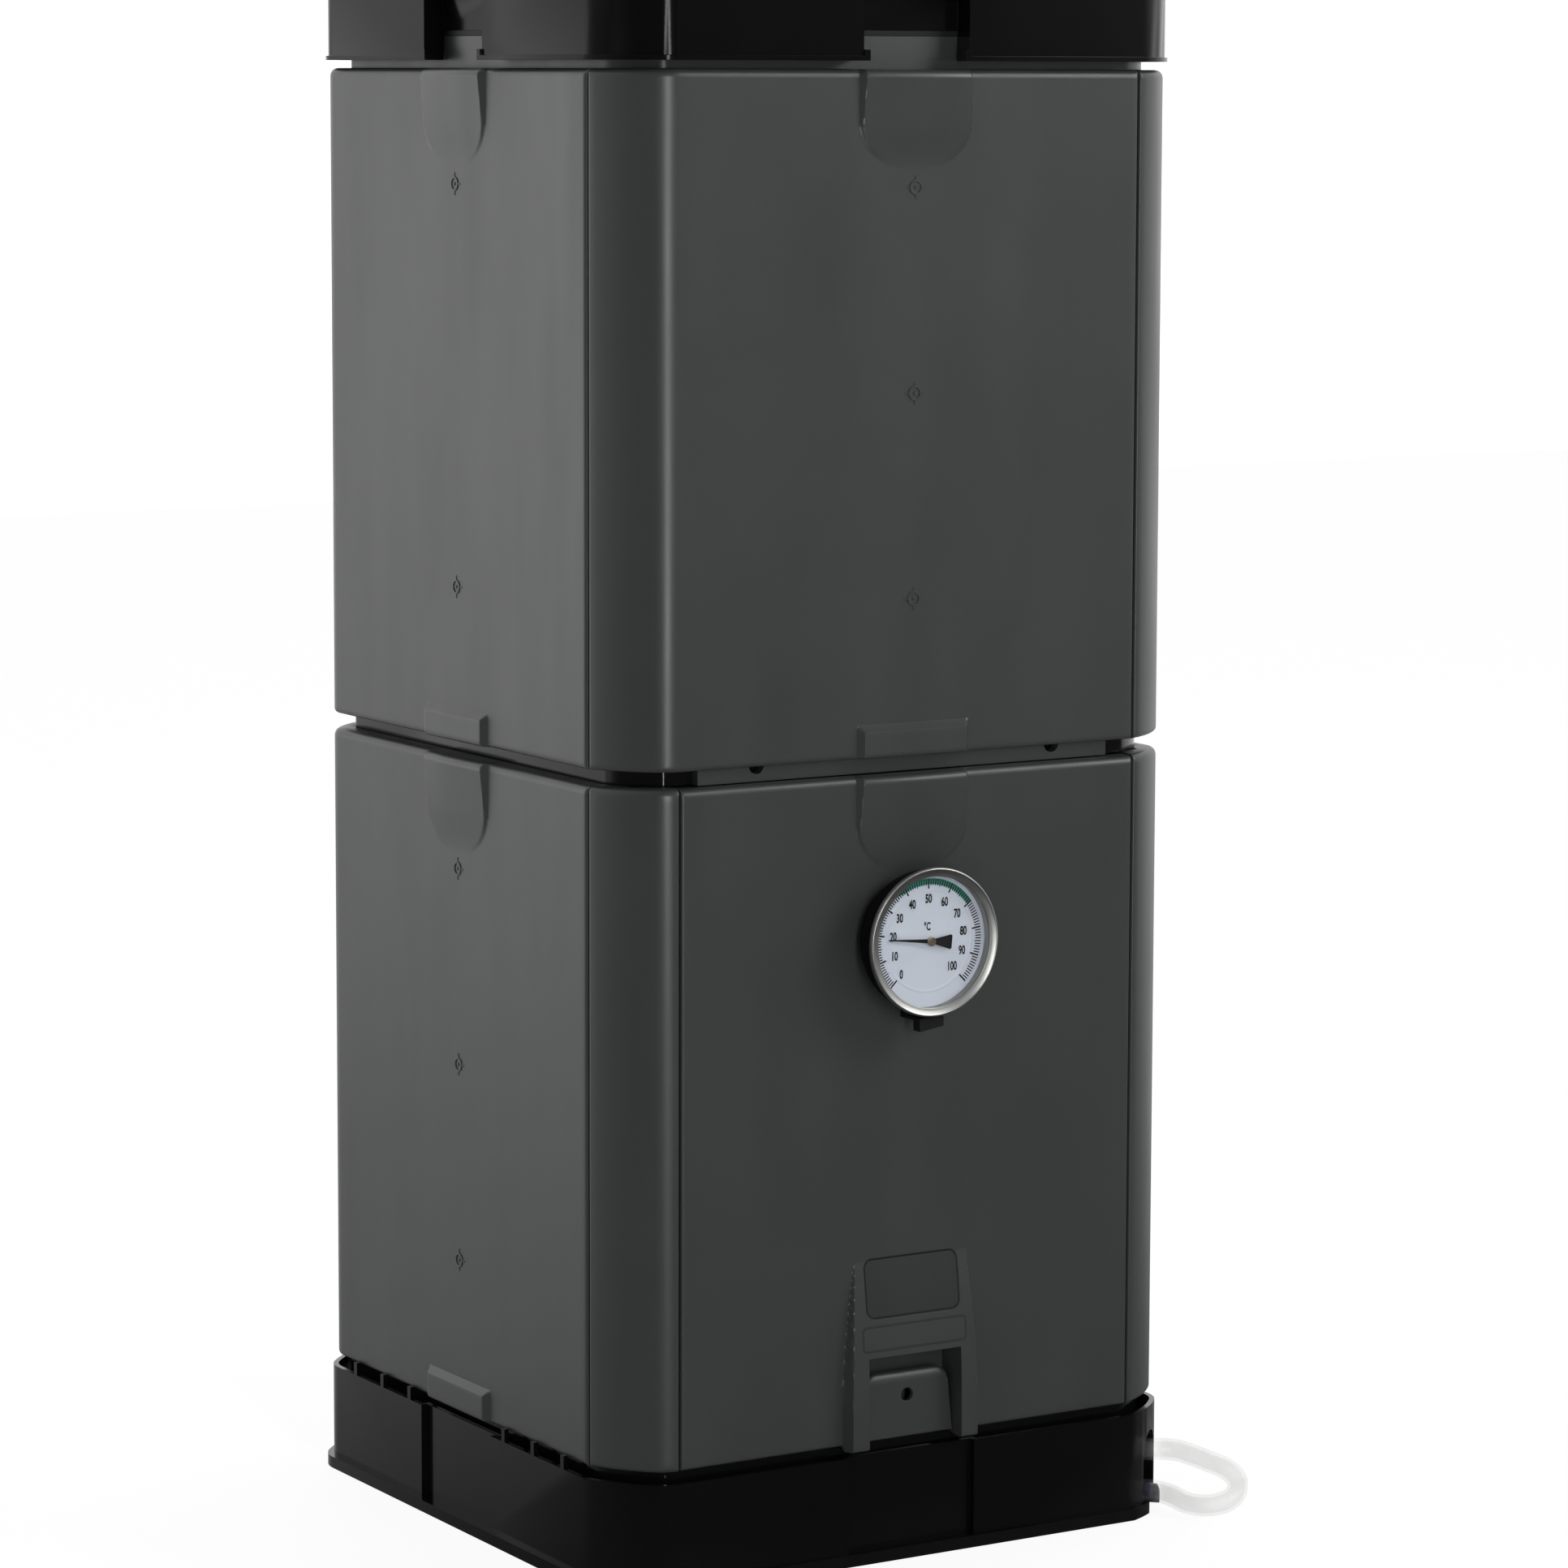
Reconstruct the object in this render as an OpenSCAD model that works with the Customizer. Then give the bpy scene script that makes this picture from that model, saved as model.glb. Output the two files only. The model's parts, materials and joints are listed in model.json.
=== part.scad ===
// Two-tier insulated compost bin: a black base with a liquid sump, four double-walled
// panels in each tier, a lift-out door with a dial thermometer, and a black lid.
// Front is -Y, the drain is at the front right corner, the bin stands on z = 0.

/* [Overall] */
// Width across the flat faces of the panels
body_w = 500; // [460:2:540]
// Height of one tier of panels
tier_h = 506; // [470:2:540]
// Height of the groove between the tiers
tier_gap = 12; // [9:0.5:16]
// Height of the base wall
base_h = 82; // [80:1:96]
// Height of the shadow gap between the base wall and the panels
base_gap = 8; // [6:0.5:12]
// Height of the lid from its lip to its crown
lid_h = 80; // [60:1:95]
// Gap between the top of the panels and the lip of the lid
lid_gap = 6; // [4:0.5:8]

/* [Panels] */
// Thickness of a whole panel, with shell, foam and liner
wall_t = 30; // [28:0.5:34]
// Thickness of the outer shell
shell_t = 3; // [2:0.25:4]
// Thickness of the inner liner
liner_t = 3; // [2:0.25:4]
// Gap between two panels at a seam
seam_gap = 1.5; // [1:0.1:2.5]
// Clearance round the foam in its shell
foam_fit = 0.2; // [0.1:0.05:0.5]
// Distance from a corner to the start of the flat face
corner_run = 50; // [44:1:56]
// Radius of the tight part of a corner round
corner_r = 28; // [26:1:32]
// Angle that the tight part turns through
corner_turn = 40; // [36:1:44]
// Radius of the soft part of a corner round
corner_soft_r = 115; // [105:1:125]

/* [Bosses on the panels] */
// Width of the raised bosses at their foot
boss_w = 98; // [80:1:120]
// Height that the bosses stand out of the panel
boss_raise = 5; // [3:0.5:7]
// Length of the tapered boss under the top edge
boss_len = 73; // [55:1:90]
// Length of the straight sides of the tapered boss
boss_straight = 38; // [20:1:50]
// Height of the pad above the bottom edge
pad_h = 25; // [18:1:35]

/* [Seam keys] */
// Width of a key across the seam
key_w = 12; // [10:0.5:16]
// Thickness of a key
key_t = 6; // [4:0.5:8]
// Distance from the outer face to a key
key_depth = 12; // [11:0.5:14]
// Distance from the ends of a tier to its keys
key_end = 12; // [8:1:24]

/* [Base] */
// Distance that the base wall stands out past the panels
base_proud = 4; // [3:0.5:6]
// Distance that the foot flange stands out past the base wall
flange_proud = 5; // [3:0.5:8]
// Height of the foot flange
flange_h = 9; // [7:0.5:12]
// Thickness of the base wall
base_wall = 4; // [3:0.5:5]
// Thickness of the sump floor
floor_t = 4; // [3:0.5:6]
// Width of the recess in the middle of each side
recess_w = 112; // [90:1:130]
// Depth of that recess
recess_depth = 5; // [3:0.5:9]
// Distance from the panel face to the rim that the panels stand on
rim_depth = 10; // [8:0.5:12]
// Height of the sump under its deck
sump_h = 66; // [60:1:70]
// Thickness of the deck
deck_t = 4; // [3:0.5:6]
// Width of the ledge that carries the grate
ledge_w = 14; // [12:1:20]
// Width of a clip tab on the base wall
tab_w = 5; // [4:0.5:8]
// Height that a tab stands above the base wall
tab_h = 10; // [9:0.5:13]
// Distance from the middle of a side to its first tab
tab_first = 77; // [70:1:84]
// Distance from tab to tab
tab_pitch = 46; // [40:1:50]
// Clearance between the tabs and the panels
tab_fit = 0.3; // [0.2:0.05:0.6]

/* [Grate] */
// Number of bars in the grate
bar_count = 15; // [9:1:19]
// Width of a bar
bar_w = 14; // [10:1:18]
// Height of a bar
bar_h = 6; // [4:0.5:8]
// Distance of the two rails from the middle
rail_x = 70; // [64:1:110]
// Width of a rail
rail_w = 10; // [8:1:16]
// Height of a rail
rail_h = 8; // [6:1:12]
// Radius of a leg under the rails
leg_r = 8; // [6:0.5:12]
// Distance of the legs from the middle
leg_y = 110; // [80:1:150]

/* [Aeration core] */
// Width of the square core
core_w = 90; // [80:1:110]
// Wall of the core
core_t = 3; // [2.5:0.25:4]
// Height of the core
core_h = 940; // [700:10:960]
// Length of an air slot
slot_w = 56; // [40:1:64]
// Height of an air slot
slot_h = 6; // [4:0.5:8]
// Number of rows of air slots
slot_rows = 8; // [4:1:10]
// Height of the collar that holds the core
collar_h = 20; // [14:1:30]
// Width of the foot plate past the core
foot_edge = 16; // [12:1:20]
// Thickness of the foot plate and of the cap
foot_t = 4; // [3:0.5:6]
// Clearance between the core and its collar or cap
core_fit = 0.3; // [0.1:0.05:0.6]

/* [Middle and top rings] */
// Distance from the panel face to the ring between the tiers
ring_depth = 17; // [15:0.5:20]
// Wall of the upstand of the neck ring
neck_wall = 4; // [3:0.5:5]
// Height of the neck ring
neck_h = 24; // [21:0.5:27]
// Distance from the panel face to the front of the lintel
lintel_depth = 9; // [6:0.5:11]
// Length of the lintel
lintel_len = 360; // [320:2:372]
// Radius of the half round notches in the lintel
notch_r = 6.5; // [5:0.5:8]
// Distance of those notches from the middle
notch_x = 130; // [110:1:150]

/* [Door] */
// Gap round the door
door_gap = 1.5; // [1:0.1:2.5]
// Half width of the handle surround at its foot
surround_half = 59; // [54:1:66]
// Height that the surround stands out of the door
surround_raise = 9.5; // [7:0.5:12]
// Draft on the sides of the surround
surround_draft = 3.5; // [2:0.5:5]
// Height of the surround up to the start of its curve
surround_flat = 23; // [10:1:40]
// Height of the surround in all
surround_h = 143; // [130:1:160]
// Distance that the feet of the surround hang below the door
surround_drop = 4; // [2:0.5:6]
// Half width of the pull pocket
pocket_half = 41; // [36:1:46]
// Height of the pull pocket above the bottom of the door
pocket_h = 66; // [60:1:74]
// Depth of the pull pocket behind the door face
pocket_depth = 18; // [14:0.5:20]
// Depth of the lock tongue behind the door face
tongue_depth = 3; // [2:0.5:5]
// Thickness of the lock tongue
tongue_t = 4; // [3:0.5:5]
// Height of the lock tongue
tongue_h = 50; // [44:1:54]
// Radius of the top corners of the lock tongue
tongue_r = 9; // [6:0.5:14]
// Width that the lock tongue loses on each side towards its top
tongue_taper = 5; // [2:0.5:8]
// Radius of the lock hole
lock_r = 5; // [4:0.25:6]
// Height of the lock hole above the bottom of the door
lock_z = 32; // [26:1:38]

/* [Thermometer] */
// Distance from the top of the lower tier down to the middle of the dial
gauge_drop = 124; // [115:1:200]
// Radius of the bezel
bezel_r = 56; // [50:0.5:60]
// Radius of the opening in the bezel
bezel_open = 49; // [44:0.5:49.5]
// Distance from the door face to the front of the bezel
gauge_proud = 33; // [30:0.5:38]
// Depth of the black steel case
case_depth = 20; // [18:0.5:22]
// Thickness of the sheet of the case
case_t = 1.5; // [1:0.25:2]
// Depth of the bezel ring
bezel_depth = 5; // [4:0.5:8]
// Thickness of the front lip of the bezel
bezel_lip = 2.5; // [2:0.25:4]
// Width of the bezel ring outside the case
bezel_ring = 4; // [3:0.25:5]
// Thickness of the glass
glass_t = 2; // [1.5:0.25:3]
// Distance from the glass to the dial
dial_drop = 7; // [6:0.25:8]
// Thickness of the dial
dial_t = 0.8; // [0.5:0.1:1.2]
// Radius of the stem
stem_r = 4.5; // [4:0.25:6]
// Wall of the stem
stem_wall = 1; // [0.75:0.25:1.25]
// Length of the stem behind the door face
stem_len = 150; // [100:5:165]
// Length of the bimetal coil in the tip of the stem
coil_len = 44; // [30:1:60]
// Radius of the collar where the stem meets the case
stem_collar_r = 9; // [8:0.5:11]
// Radial running clearance of the stem in its bush
stem_fit = 0.08; // [0.02:0.01:0.1]
// Radius of the rubber bush in the door
bush_r = 12; // [11:0.5:14]
// Radius of the black holder behind the case
holder_r = 46; // [40:0.5:50]
// Wall of the black holder
holder_t = 3; // [2:0.5:4]
// Half width of the clip under the bezel
clip_half = 11; // [8:0.5:14]
// Height of that clip
clip_h = 10; // [7:0.5:16]
// Thickness of that clip from front to back
clip_t = 9; // [6:0.5:14]
// Length of the needle
needle_len = 38; // [32:0.5:42]
// Width of the needle at its hub
needle_w = 3; // [2:0.25:4]
// Length of the counterweight
tail_len = 17.5; // [12:0.5:22]
// Width of the counterweight at its end
tail_w = 11; // [8:0.5:14]
// Thickness of the needle
needle_t = 0.6; // [0.4:0.1:1]
// Radius of the brass hub
hub_r = 3.5; // [2.5:0.25:4.5]
// Radius of the shaft that turns the needle
shaft_r = 1.2; // [0.8:0.1:1.4]
// Radial running clearance of the shaft in the case
shaft_fit = 0.08; // [0.02:0.01:0.1]
// Angle of the needle to the left of the top of the dial
needle_angle = 84.5; // [40:0.5:135]

/* [Drain] */
// Half width of the arched recess at the corner
arch_half = 16; // [14:0.5:18]
// Height of the arched recess
arch_h = 62; // [58:0.5:63]
// Depth of the recess from the corner of the base
arch_depth = 26; // [22:0.5:28]
// Height of the drain outlet
drain_z = 14; // [13.8:0.1:15]
// Height of the holder for the free end of the hose
holder_z = 46; // [44:0.5:47]
// Inner radius of the hose
hose_bore_r = 6; // [5.5:0.25:6.5]
// Outer radius of the hose
hose_r = 8.5; // [8:0.25:9]
// Bore of the drain outlet
outlet_r = 4; // [3:0.25:4.5]
// Length of the drain outlet outside the wall
outlet_len = 32; // [28:0.5:42]
// Length of the holder outside the wall
stub_len = 20; // [16:0.5:24]
// Radius of the collars and the nut
collar_r = 9.4; // [8.5:0.1:9.6]

/* [Lid] */
// Distance that the lid stands out past the panels
lid_proud = 1; // [0.5:0.5:3]
// Wall of the lid
lid_t = 3; // [2.5:0.25:4]
// Distance that the lip stands out past the lid
lip_proud = 2; // [1:0.5:3]
// Height of the lip
lip_h = 3.5; // [3:0.5:6]
// Height of the raised crown of the lid
crown_h = 12; // [8:1:14]
// Inset of the raised crown
crown_inset = 14; // [10:1:22]
// Half width of the finger notch in each side
grip_half = 46; // [40:1:52]
// Height of the finger notch
grip_h = 45; // [42:0.5:48]
// Depth of the finger notch
grip_depth = 16; // [14:0.5:17]
// Width of the small feet in the bottom corners of a notch
grip_foot = 4; // [3:0.5:6]
// Height of the rubber seal
seal_h = 3.7; // [3:0.1:4]
// Clearance between the seal and the neck
seal_fit = 0.3; // [0.2:0.05:0.5]

/* [Hidden] */
$fn = 64;

panel_grey = [0.25, 0.26, 0.26];
gloss_black = [0.06, 0.06, 0.07];
foam_white = [0.93, 0.92, 0.87];
liner_grey = [0.33, 0.34, 0.34];
steel = [0.62, 0.62, 0.60];
rubber_black = [0.04, 0.04, 0.04];

// Overlap of a cut or a weld past the face that it meets
eps = 1;

half = body_w / 2;
liner_in = wall_t;
liner_out = wall_t - liner_t;
panel_z = base_h + base_gap;
lower_top = panel_z + tier_h;
upper_z = lower_top + tier_gap;
upper_top = upper_z + tier_h;
lid_z = upper_top + lid_gap;
lid_top = lid_z + lid_h;
neck_top = upper_top + neck_h;
deck_top = sump_h + deck_t;
grate_top = deck_top + bar_h;
gauge_z = lower_top - gauge_drop;

tight_steps = 8;
soft_steps = 6;
tight_c = [-half + corner_run, -half + corner_r];
soft_c = tight_c + (corner_soft_r - corner_r) * [sin(corner_turn), cos(corner_turn)];

// A point turned about the axis of the bin
function turned(p, a) = [p[0] * cos(a) - p[1] * sin(a), p[0] * sin(a) + p[1] * cos(a)];
// Point of an arc where its tangent has turned by a from the front face
function arc_point(c, r, a) = c - r * [sin(a), cos(a)];
// Turn at which the soft arc, d inside the face, reaches the line y
function turn_at_y(d, y) = acos((soft_c[1] - y) / (corner_soft_r - d));
// Turn at which the soft arc, d inside the face, reaches the next face
function turn_at_side(d) = asin((soft_c[0] + half - d) / (corner_soft_r - d));
// Corner outline d inside the face, from the front face round to the turn last
function corner_points(d, last) = concat(
    [for (i = [0:tight_steps]) arc_point(tight_c, corner_r - d, corner_turn * i / tight_steps)],
    [for (i = [1:soft_steps])
        arc_point(soft_c, corner_soft_r - d, corner_turn + (last - corner_turn) * i / soft_steps)]);
// Closed outline of the whole bin, d inside its faces
function ring_points(d) = [for (k = [0:3]) for (p = corner_points(d, turn_at_side(d))) turned(p, -90 * k)];
// Outline of one panel with its corner: d and q are the depths of its two faces
function panel_points(d, q, x_end, y_end) = concat(
    [[x_end, -half + d]], corner_points(d, turn_at_y(d, y_end)),
    [[-half + q, y_end], [-half + q, -half + q], [x_end, -half + q]]);

// The crease where a corner meets the next panel, as a distance from the axis
crease = corner_soft_r * cos(turn_at_side(0)) - soft_c[1];
panel_x = crease - seam_gap / 2;
panel_y = -crease - seam_gap / 2;
post_x = -half + corner_run;

module prism(z0, z1, points) translate([0, 0, z0]) linear_extrude(z1 - z0) polygon(points);

// A box from its lowest and highest corners
module box(low, high) translate(low) cube(high - low);

// A square plate or hole about the axis
module square_prism(z0, z1, r) box([-r, -r, z0], [r, r, z1]);

// The same shape on all four sides
module each_side() for (k = [0:3]) rotate(90 * k) children();

// Places a shape drawn in X and Y on the front, with Y upwards and its extrusion towards the front
module on_front(y) translate([0, y, 0]) rotate([90, 0, 0]) children();

module key_slots(z, right, left, fit) {
    low = -half + key_depth - fit;
    high = low + key_t + 2 * fit;
    reach = key_w / 2 + fit;
    if (right)
        box([crease - reach, low, z + key_end], [crease + eps, high, z + tier_h - key_end + fit]);
    if (left)
        box([low, -crease - reach, z + key_end], [high, -crease + eps, z + tier_h - key_end + fit]);
}

// Height of the boss at its foot
boss_foot = 0.3;

// Raised wedge under the top edge: thick at the top, flush at its rounded foot
module top_boss(z) intersection() {
    on_front(-half + eps) linear_extrude(boss_raise + 2 * eps) polygon(concat(
        [[boss_w / 2, z], [-boss_w / 2, z]],
        [for (a = [0:10:180]) [-boss_w / 2 * cos(a),
            z - boss_straight - (boss_len - boss_straight) * sin(a)]]));
    rotate([90, 0, 90]) translate([0, 0, -boss_w]) linear_extrude(2 * boss_w) polygon(
        [[-half + eps, z], [-half - boss_raise, z], [-half - boss_foot, z - boss_len],
         [-half + eps, z - boss_len]]);
    draft_prism(z - boss_len, z);
}

// Raised pad above the bottom edge with sloping sides
module bottom_pad(z) intersection() {
    rotate([90, 0, 90]) translate([0, 0, -boss_w]) linear_extrude(2 * boss_w) polygon(
        [[-half + eps, z], [-half - boss_raise, z], [-half - boss_raise, z + pad_h - boss_raise],
         [-half, z + pad_h], [-half + eps, z + pad_h]]);
    draft_prism(z, z + pad_h);
}

module draft_prism(z0, z1) prism(z0, z1, [
    [-boss_w / 2, -half + eps], [-boss_w / 2, -half], [-boss_w / 2 + boss_raise, -half - boss_raise],
    [boss_w / 2 - boss_raise, -half - boss_raise], [boss_w / 2, -half], [boss_w / 2, -half + eps]]);

module panel_shell(z, x_end, y_end, right, left) color(panel_grey) difference() {
    prism(z, z + tier_h, panel_points(0, liner_out, x_end, y_end));
    prism(z + shell_t, z + tier_h - shell_t,
        panel_points(shell_t, liner_in, x_end - shell_t, y_end - shell_t));
    key_slots(z, right, left, foam_fit);
}

module panel_foam(z, x_end, y_end, right, left) color(foam_white) difference() {
    in = shell_t + foam_fit;
    prism(z + in, z + tier_h - in, panel_points(in, liner_out, x_end - in, y_end - in));
    key_slots(z, right, left, foam_fit);
}

module panel_liner(z, x_end, y_end) color(liner_grey) prism(z, z + tier_h, [
    [x_end, -half + liner_out], [-half + liner_out, -half + liner_out], [-half + liner_out, y_end],
    [-half + liner_in, y_end], [-half + liner_in, -half + liner_in], [x_end, -half + liner_in]]);

module full_shell(z, side, left) rotate(90 * side) {
    panel_shell(z, panel_x, panel_y, true, left);
    color(panel_grey) top_boss(z + tier_h);
    color(panel_grey) bottom_pad(z);
}
module full_foam(z, side, left) rotate(90 * side) panel_foam(z, panel_x, panel_y, true, left);
module full_liner(z, side) rotate(90 * side) panel_liner(z, panel_x, panel_y);

// One key that joins two panels across the seam at the right end of a panel
module seam_key(z, side) color(liner_grey) rotate(90 * side) box(
    [crease - key_w / 2, -half + key_depth, z + key_end],
    [crease + key_w / 2, -half + key_depth + key_t, z + tier_h - key_end]);

// Base
diagonal_point = arc_point(soft_c, corner_soft_r, 45);
// Distance from the axis to the back wall of the arched recess, along the diagonal
arch_floor = -(diagonal_point[0] + diagonal_point[1]) / sqrt(2) + base_proud - arch_depth;

// Draws along the diagonal of the drain corner: Z points out of the bin, X down, s from the axis
module at_drain(s, z) translate([s / sqrt(2), -s / sqrt(2), z]) rotate([0, 90, -45]) children();

module arch_cut(s, grow) at_drain(s, 0) linear_extrude(arch_depth * 4) {
    translate([-(arch_h - arch_half), 0]) circle(arch_half + grow);
    translate([-(arch_h - arch_half), -arch_half - grow]) square([arch_h, 2 * (arch_half + grow)]);
}

module base_tray() color(gloss_black) {
    inner_recess = recess_depth - base_proud + base_wall;
    difference() {
        union() {
            difference() {
                union() {
                    prism(0, flange_h, ring_points(-base_proud - flange_proud));
                    prism(0, base_h, ring_points(-base_proud));
                }
                prism(floor_t, base_h + eps, ring_points(base_wall - base_proud));
            }
            difference() {
                prism(sump_h, deck_top, ring_points(-eps));
                square_prism(sump_h - eps, deck_top + eps, half - wall_t - ledge_w);
            }
            difference() {
                prism(sump_h, panel_z, ring_points(rim_depth));
                square_prism(sump_h - eps, panel_z + eps, half - wall_t);
            }
            each_side() box([-recess_w / 2 - base_wall, -half - eps, floor_t / 2],
                            [recess_w / 2 + base_wall, -half + inner_recess, base_h]);
            intersection() {
                prism(floor_t / 2, deck_top, ring_points(-base_proud));
                at_drain(arch_floor - base_wall, 0) translate([-deck_top, -arch_half - base_wall])
                    cube([deck_top, 2 * (arch_half + base_wall), arch_depth * 2]);
            }
            for (side = [1:3]) rotate(90 * side) for (end = [-1, 1]) for (i = [0:2])
                translate([end * (tab_first + i * tab_pitch), 0, 0])
                box([-tab_w / 2, -half - base_proud, base_h - tab_h / 2],
                    [tab_w / 2, -half - tab_fit, base_h + tab_h]);
        }
        each_side() box([-recess_w / 2, -half - base_proud - eps, flange_h],
                        [recess_w / 2, -half - base_proud + recess_depth, base_h + eps]);
        arch_cut(arch_floor, 0);
        at_drain(arch_floor - 2 * base_wall, drain_z) cylinder(r = hose_bore_r, h = 4 * base_wall);
        at_drain(arch_floor - 2 * base_wall, holder_z) cylinder(r = outlet_r, h = 4 * base_wall);
    }
}

// Clearance round the grate in the base
grate_fit = 1;

// Separate bars that lie on the deck and on two bearers
module grate_bars() color(liner_grey) {
    reach = half - wall_t - grate_fit;
    pitch = (2 * reach - bar_w) / (bar_count - 1);
    for (i = [0:bar_count - 1]) translate([0, -reach + i * pitch, 0])
        box([-reach, 0, deck_top], [reach, bar_w, grate_top]);
}

module grate_bearers() color(liner_grey) for (end = [-1, 1]) translate([end * rail_x, 0, 0]) {
    reach = half - wall_t - ledge_w - 2 * grate_fit;
    box([-rail_w / 2, -reach, deck_top - rail_h], [rail_w / 2, reach, deck_top]);
    for (y = [-leg_y, leg_y]) translate([0, y, floor_t])
        cylinder(r = leg_r, h = deck_top - rail_h - floor_t + eps);
}

// Aeration core
core_z = grate_top + foot_t;
core_top = core_z + core_h;

module core_foot() color(gloss_black) difference() {
    union() {
        square_prism(grate_top, core_z, core_w / 2 + foot_edge);
        square_prism(grate_top, core_z + collar_h, core_w / 2 + core_fit + core_t);
    }
    square_prism(core_z, core_z + collar_h + eps, core_w / 2 + core_fit);
    square_prism(grate_top - eps, core_z + eps, core_w / 2 - core_t - eps);
}

module aeration_core() color(gloss_black) difference() {
    square_prism(core_z, core_top, core_w / 2);
    square_prism(core_z - eps, core_top + eps, core_w / 2 - core_t);
    slot_span = core_h - 4 * collar_h;
    for (i = [0:slot_rows - 1]) translate([0, 0, core_z + 2 * collar_h + i * slot_span / (slot_rows - 1)]) {
        box([-core_w, -slot_w / 2, 0], [core_w, slot_w / 2, slot_h]);
        box([-slot_w / 2, -core_w, 0], [slot_w / 2, core_w, slot_h]);
    }
}

module core_cap() color(gloss_black) difference() {
    square_prism(core_top - collar_h, core_top + foot_t, core_w / 2 + core_fit + core_t);
    square_prism(core_top - collar_h - eps, core_top, core_w / 2 + core_fit);
}

// Drain
barb_r = hose_bore_r + 0.8;
barb_root = hose_bore_r - 0.4;
barb_count = 3;

// Profile of a barbed spigot, as radius and height, from its collar to its tip
function barb_profile(len) = let (pitch = len / (barb_count + 1)) concat(
    [[0, 0], [barb_root, 0]],
    [for (i = [1:barb_count]) for (p = [[barb_root, (i - 0.4) * pitch], [barb_r, (i - 0.4) * pitch],
        [barb_root, (i + 0.4) * pitch]]) p],
    [[barb_root, len - 1], [barb_root - 1, len], [0, len]]);

// Thickness of the rubber seal of the outlet
seal_t = 2;
// Thickness of the flanges of the outlet and the holder
flange_t = 3;
// Height of the nut of the outlet
nut_h = 9;
// Length of the thread of the outlet inside the sump
outlet_tail = 12;

module drain_outlet() color("midnightblue") difference() {
    union() {
        at_drain(arch_floor + seal_t, drain_z) cylinder(r = collar_r, h = flange_t);
        at_drain(arch_floor + seal_t + flange_t, drain_z) rotate_extrude()
            polygon(barb_profile(outlet_len - seal_t - flange_t));
        at_drain(arch_floor - base_wall - outlet_tail, drain_z)
            cylinder(r = hose_bore_r - foam_fit, h = base_wall + outlet_tail + seal_t + eps);
    }
    at_drain(arch_floor - base_wall - outlet_tail - eps, drain_z)
        cylinder(r = outlet_r, h = base_wall + outlet_tail + outlet_len + 2 * eps + seal_t);
}

module drain_seal() color(rubber_black) at_drain(arch_floor, drain_z) difference() {
    cylinder(r = collar_r, h = seal_t);
    translate([0, 0, -eps]) cylinder(r = hose_bore_r, h = seal_t + 2 * eps);
}

module drain_nut() color(gloss_black) at_drain(arch_floor - base_wall - nut_h, drain_z) difference() {
    cylinder(r = collar_r, h = nut_h, $fn = 6);
    translate([0, 0, -eps]) cylinder(r = hose_bore_r, h = nut_h + 2 * eps);
}

module hose_holder() color("midnightblue") {
    back = arch_floor - base_wall - flange_t;
    at_drain(arch_floor, holder_z) cylinder(r = collar_r, h = flange_t);
    at_drain(arch_floor + flange_t, holder_z) rotate_extrude() polygon(barb_profile(stub_len - flange_t));
    at_drain(back, holder_z) cylinder(r = outlet_r - foam_fit, h = base_wall + flange_t + eps);
    at_drain(back, holder_z) cylinder(r = hose_bore_r, h = flange_t);
}

// Route of the hose from the drain outlet to its holder, as points on its centre line
hose_route = [
    [219, -219, 14], [226, -226, 14], [232, -232, 14], [238, -238.5, 13.5], [242, -247, 12.5],
    [243.5, -256, 11.5], [244, -264.5, 10.3], [247, -272.5, 9.7], [252.5, -278.5, 9.5],
    [260.5, -281.5, 9.5], [269.5, -281.5, 10], [277, -280.5, 11.5], [283, -279, 14.5],
    [286.5, -277.5, 19], [287, -275.5, 24], [285, -273, 28.5], [281, -269.5, 32.5], [276, -265, 35.5],
    [270.5, -259.5, 38], [265.5, -253.5, 40.5], [260.5, -248, 42.5], [255, -242.5, 44.5],
    [248.5, -238, 45.5], [242, -235, 46], [235, -232, 46], [228, -227, 46], [219, -219, 46]];
hose_sides = 12;

function unit(v) = v / norm(v);
function route_way(i) = unit(hose_route[min(i + 1, len(hose_route) - 1)] - hose_route[max(i - 1, 0)]);
// Corner k of the ring of the tube at point i, level and upright about the route
function hose_point(i, k) = let (way = route_way(i), side = unit(cross([0, 0, 1], way)),
    up = cross(way, side), a = 360 * k / hose_sides)
    hose_route[i] + hose_r * (cos(a) * side + sin(a) * up);

module drain_hose() color([0.85, 0.87, 0.88, 0.5]) {
    rings = len(hose_route);
    polyhedron(
        points = [for (i = [0:rings - 1]) for (k = [0:hose_sides - 1]) hose_point(i, k)],
        faces = concat(
            [for (i = [0:rings - 2]) for (k = [0:hose_sides - 1])
                let (a = i * hose_sides, b = a + hose_sides, n = (k + 1) % hose_sides)
                [a + k, b + k, b + n]],
            [for (i = [0:rings - 2]) for (k = [0:hose_sides - 1])
                let (a = i * hose_sides, b = a + hose_sides, n = (k + 1) % hose_sides)
                [a + k, b + n, a + n]],
            [for (k = [1:hose_sides - 2]) [0, k, k + 1]],
            [for (k = [1:hose_sides - 2]) let (a = (rings - 1) * hose_sides) [a, a + k + 1, a + k]]));
}

// Lower tier
module lower_left_shell() full_shell(panel_z, 3, true);
module lower_left_foam() full_foam(panel_z, 3, true);
module lower_left_liner() full_liner(panel_z, 3);
module lower_back_shell() full_shell(panel_z, 2, true);
module lower_back_foam() full_foam(panel_z, 2, true);
module lower_back_liner() full_liner(panel_z, 2);
module lower_right_shell() full_shell(panel_z, 1, false);
module lower_right_foam() full_foam(panel_z, 1, false);
module lower_right_liner() full_liner(panel_z, 1);

// The part of the front panels between x0 and x1
module post_slice(x0, x1) box([x0, -half - eps, panel_z - eps], [x1, -half + wall_t, lower_top + eps]);

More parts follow.
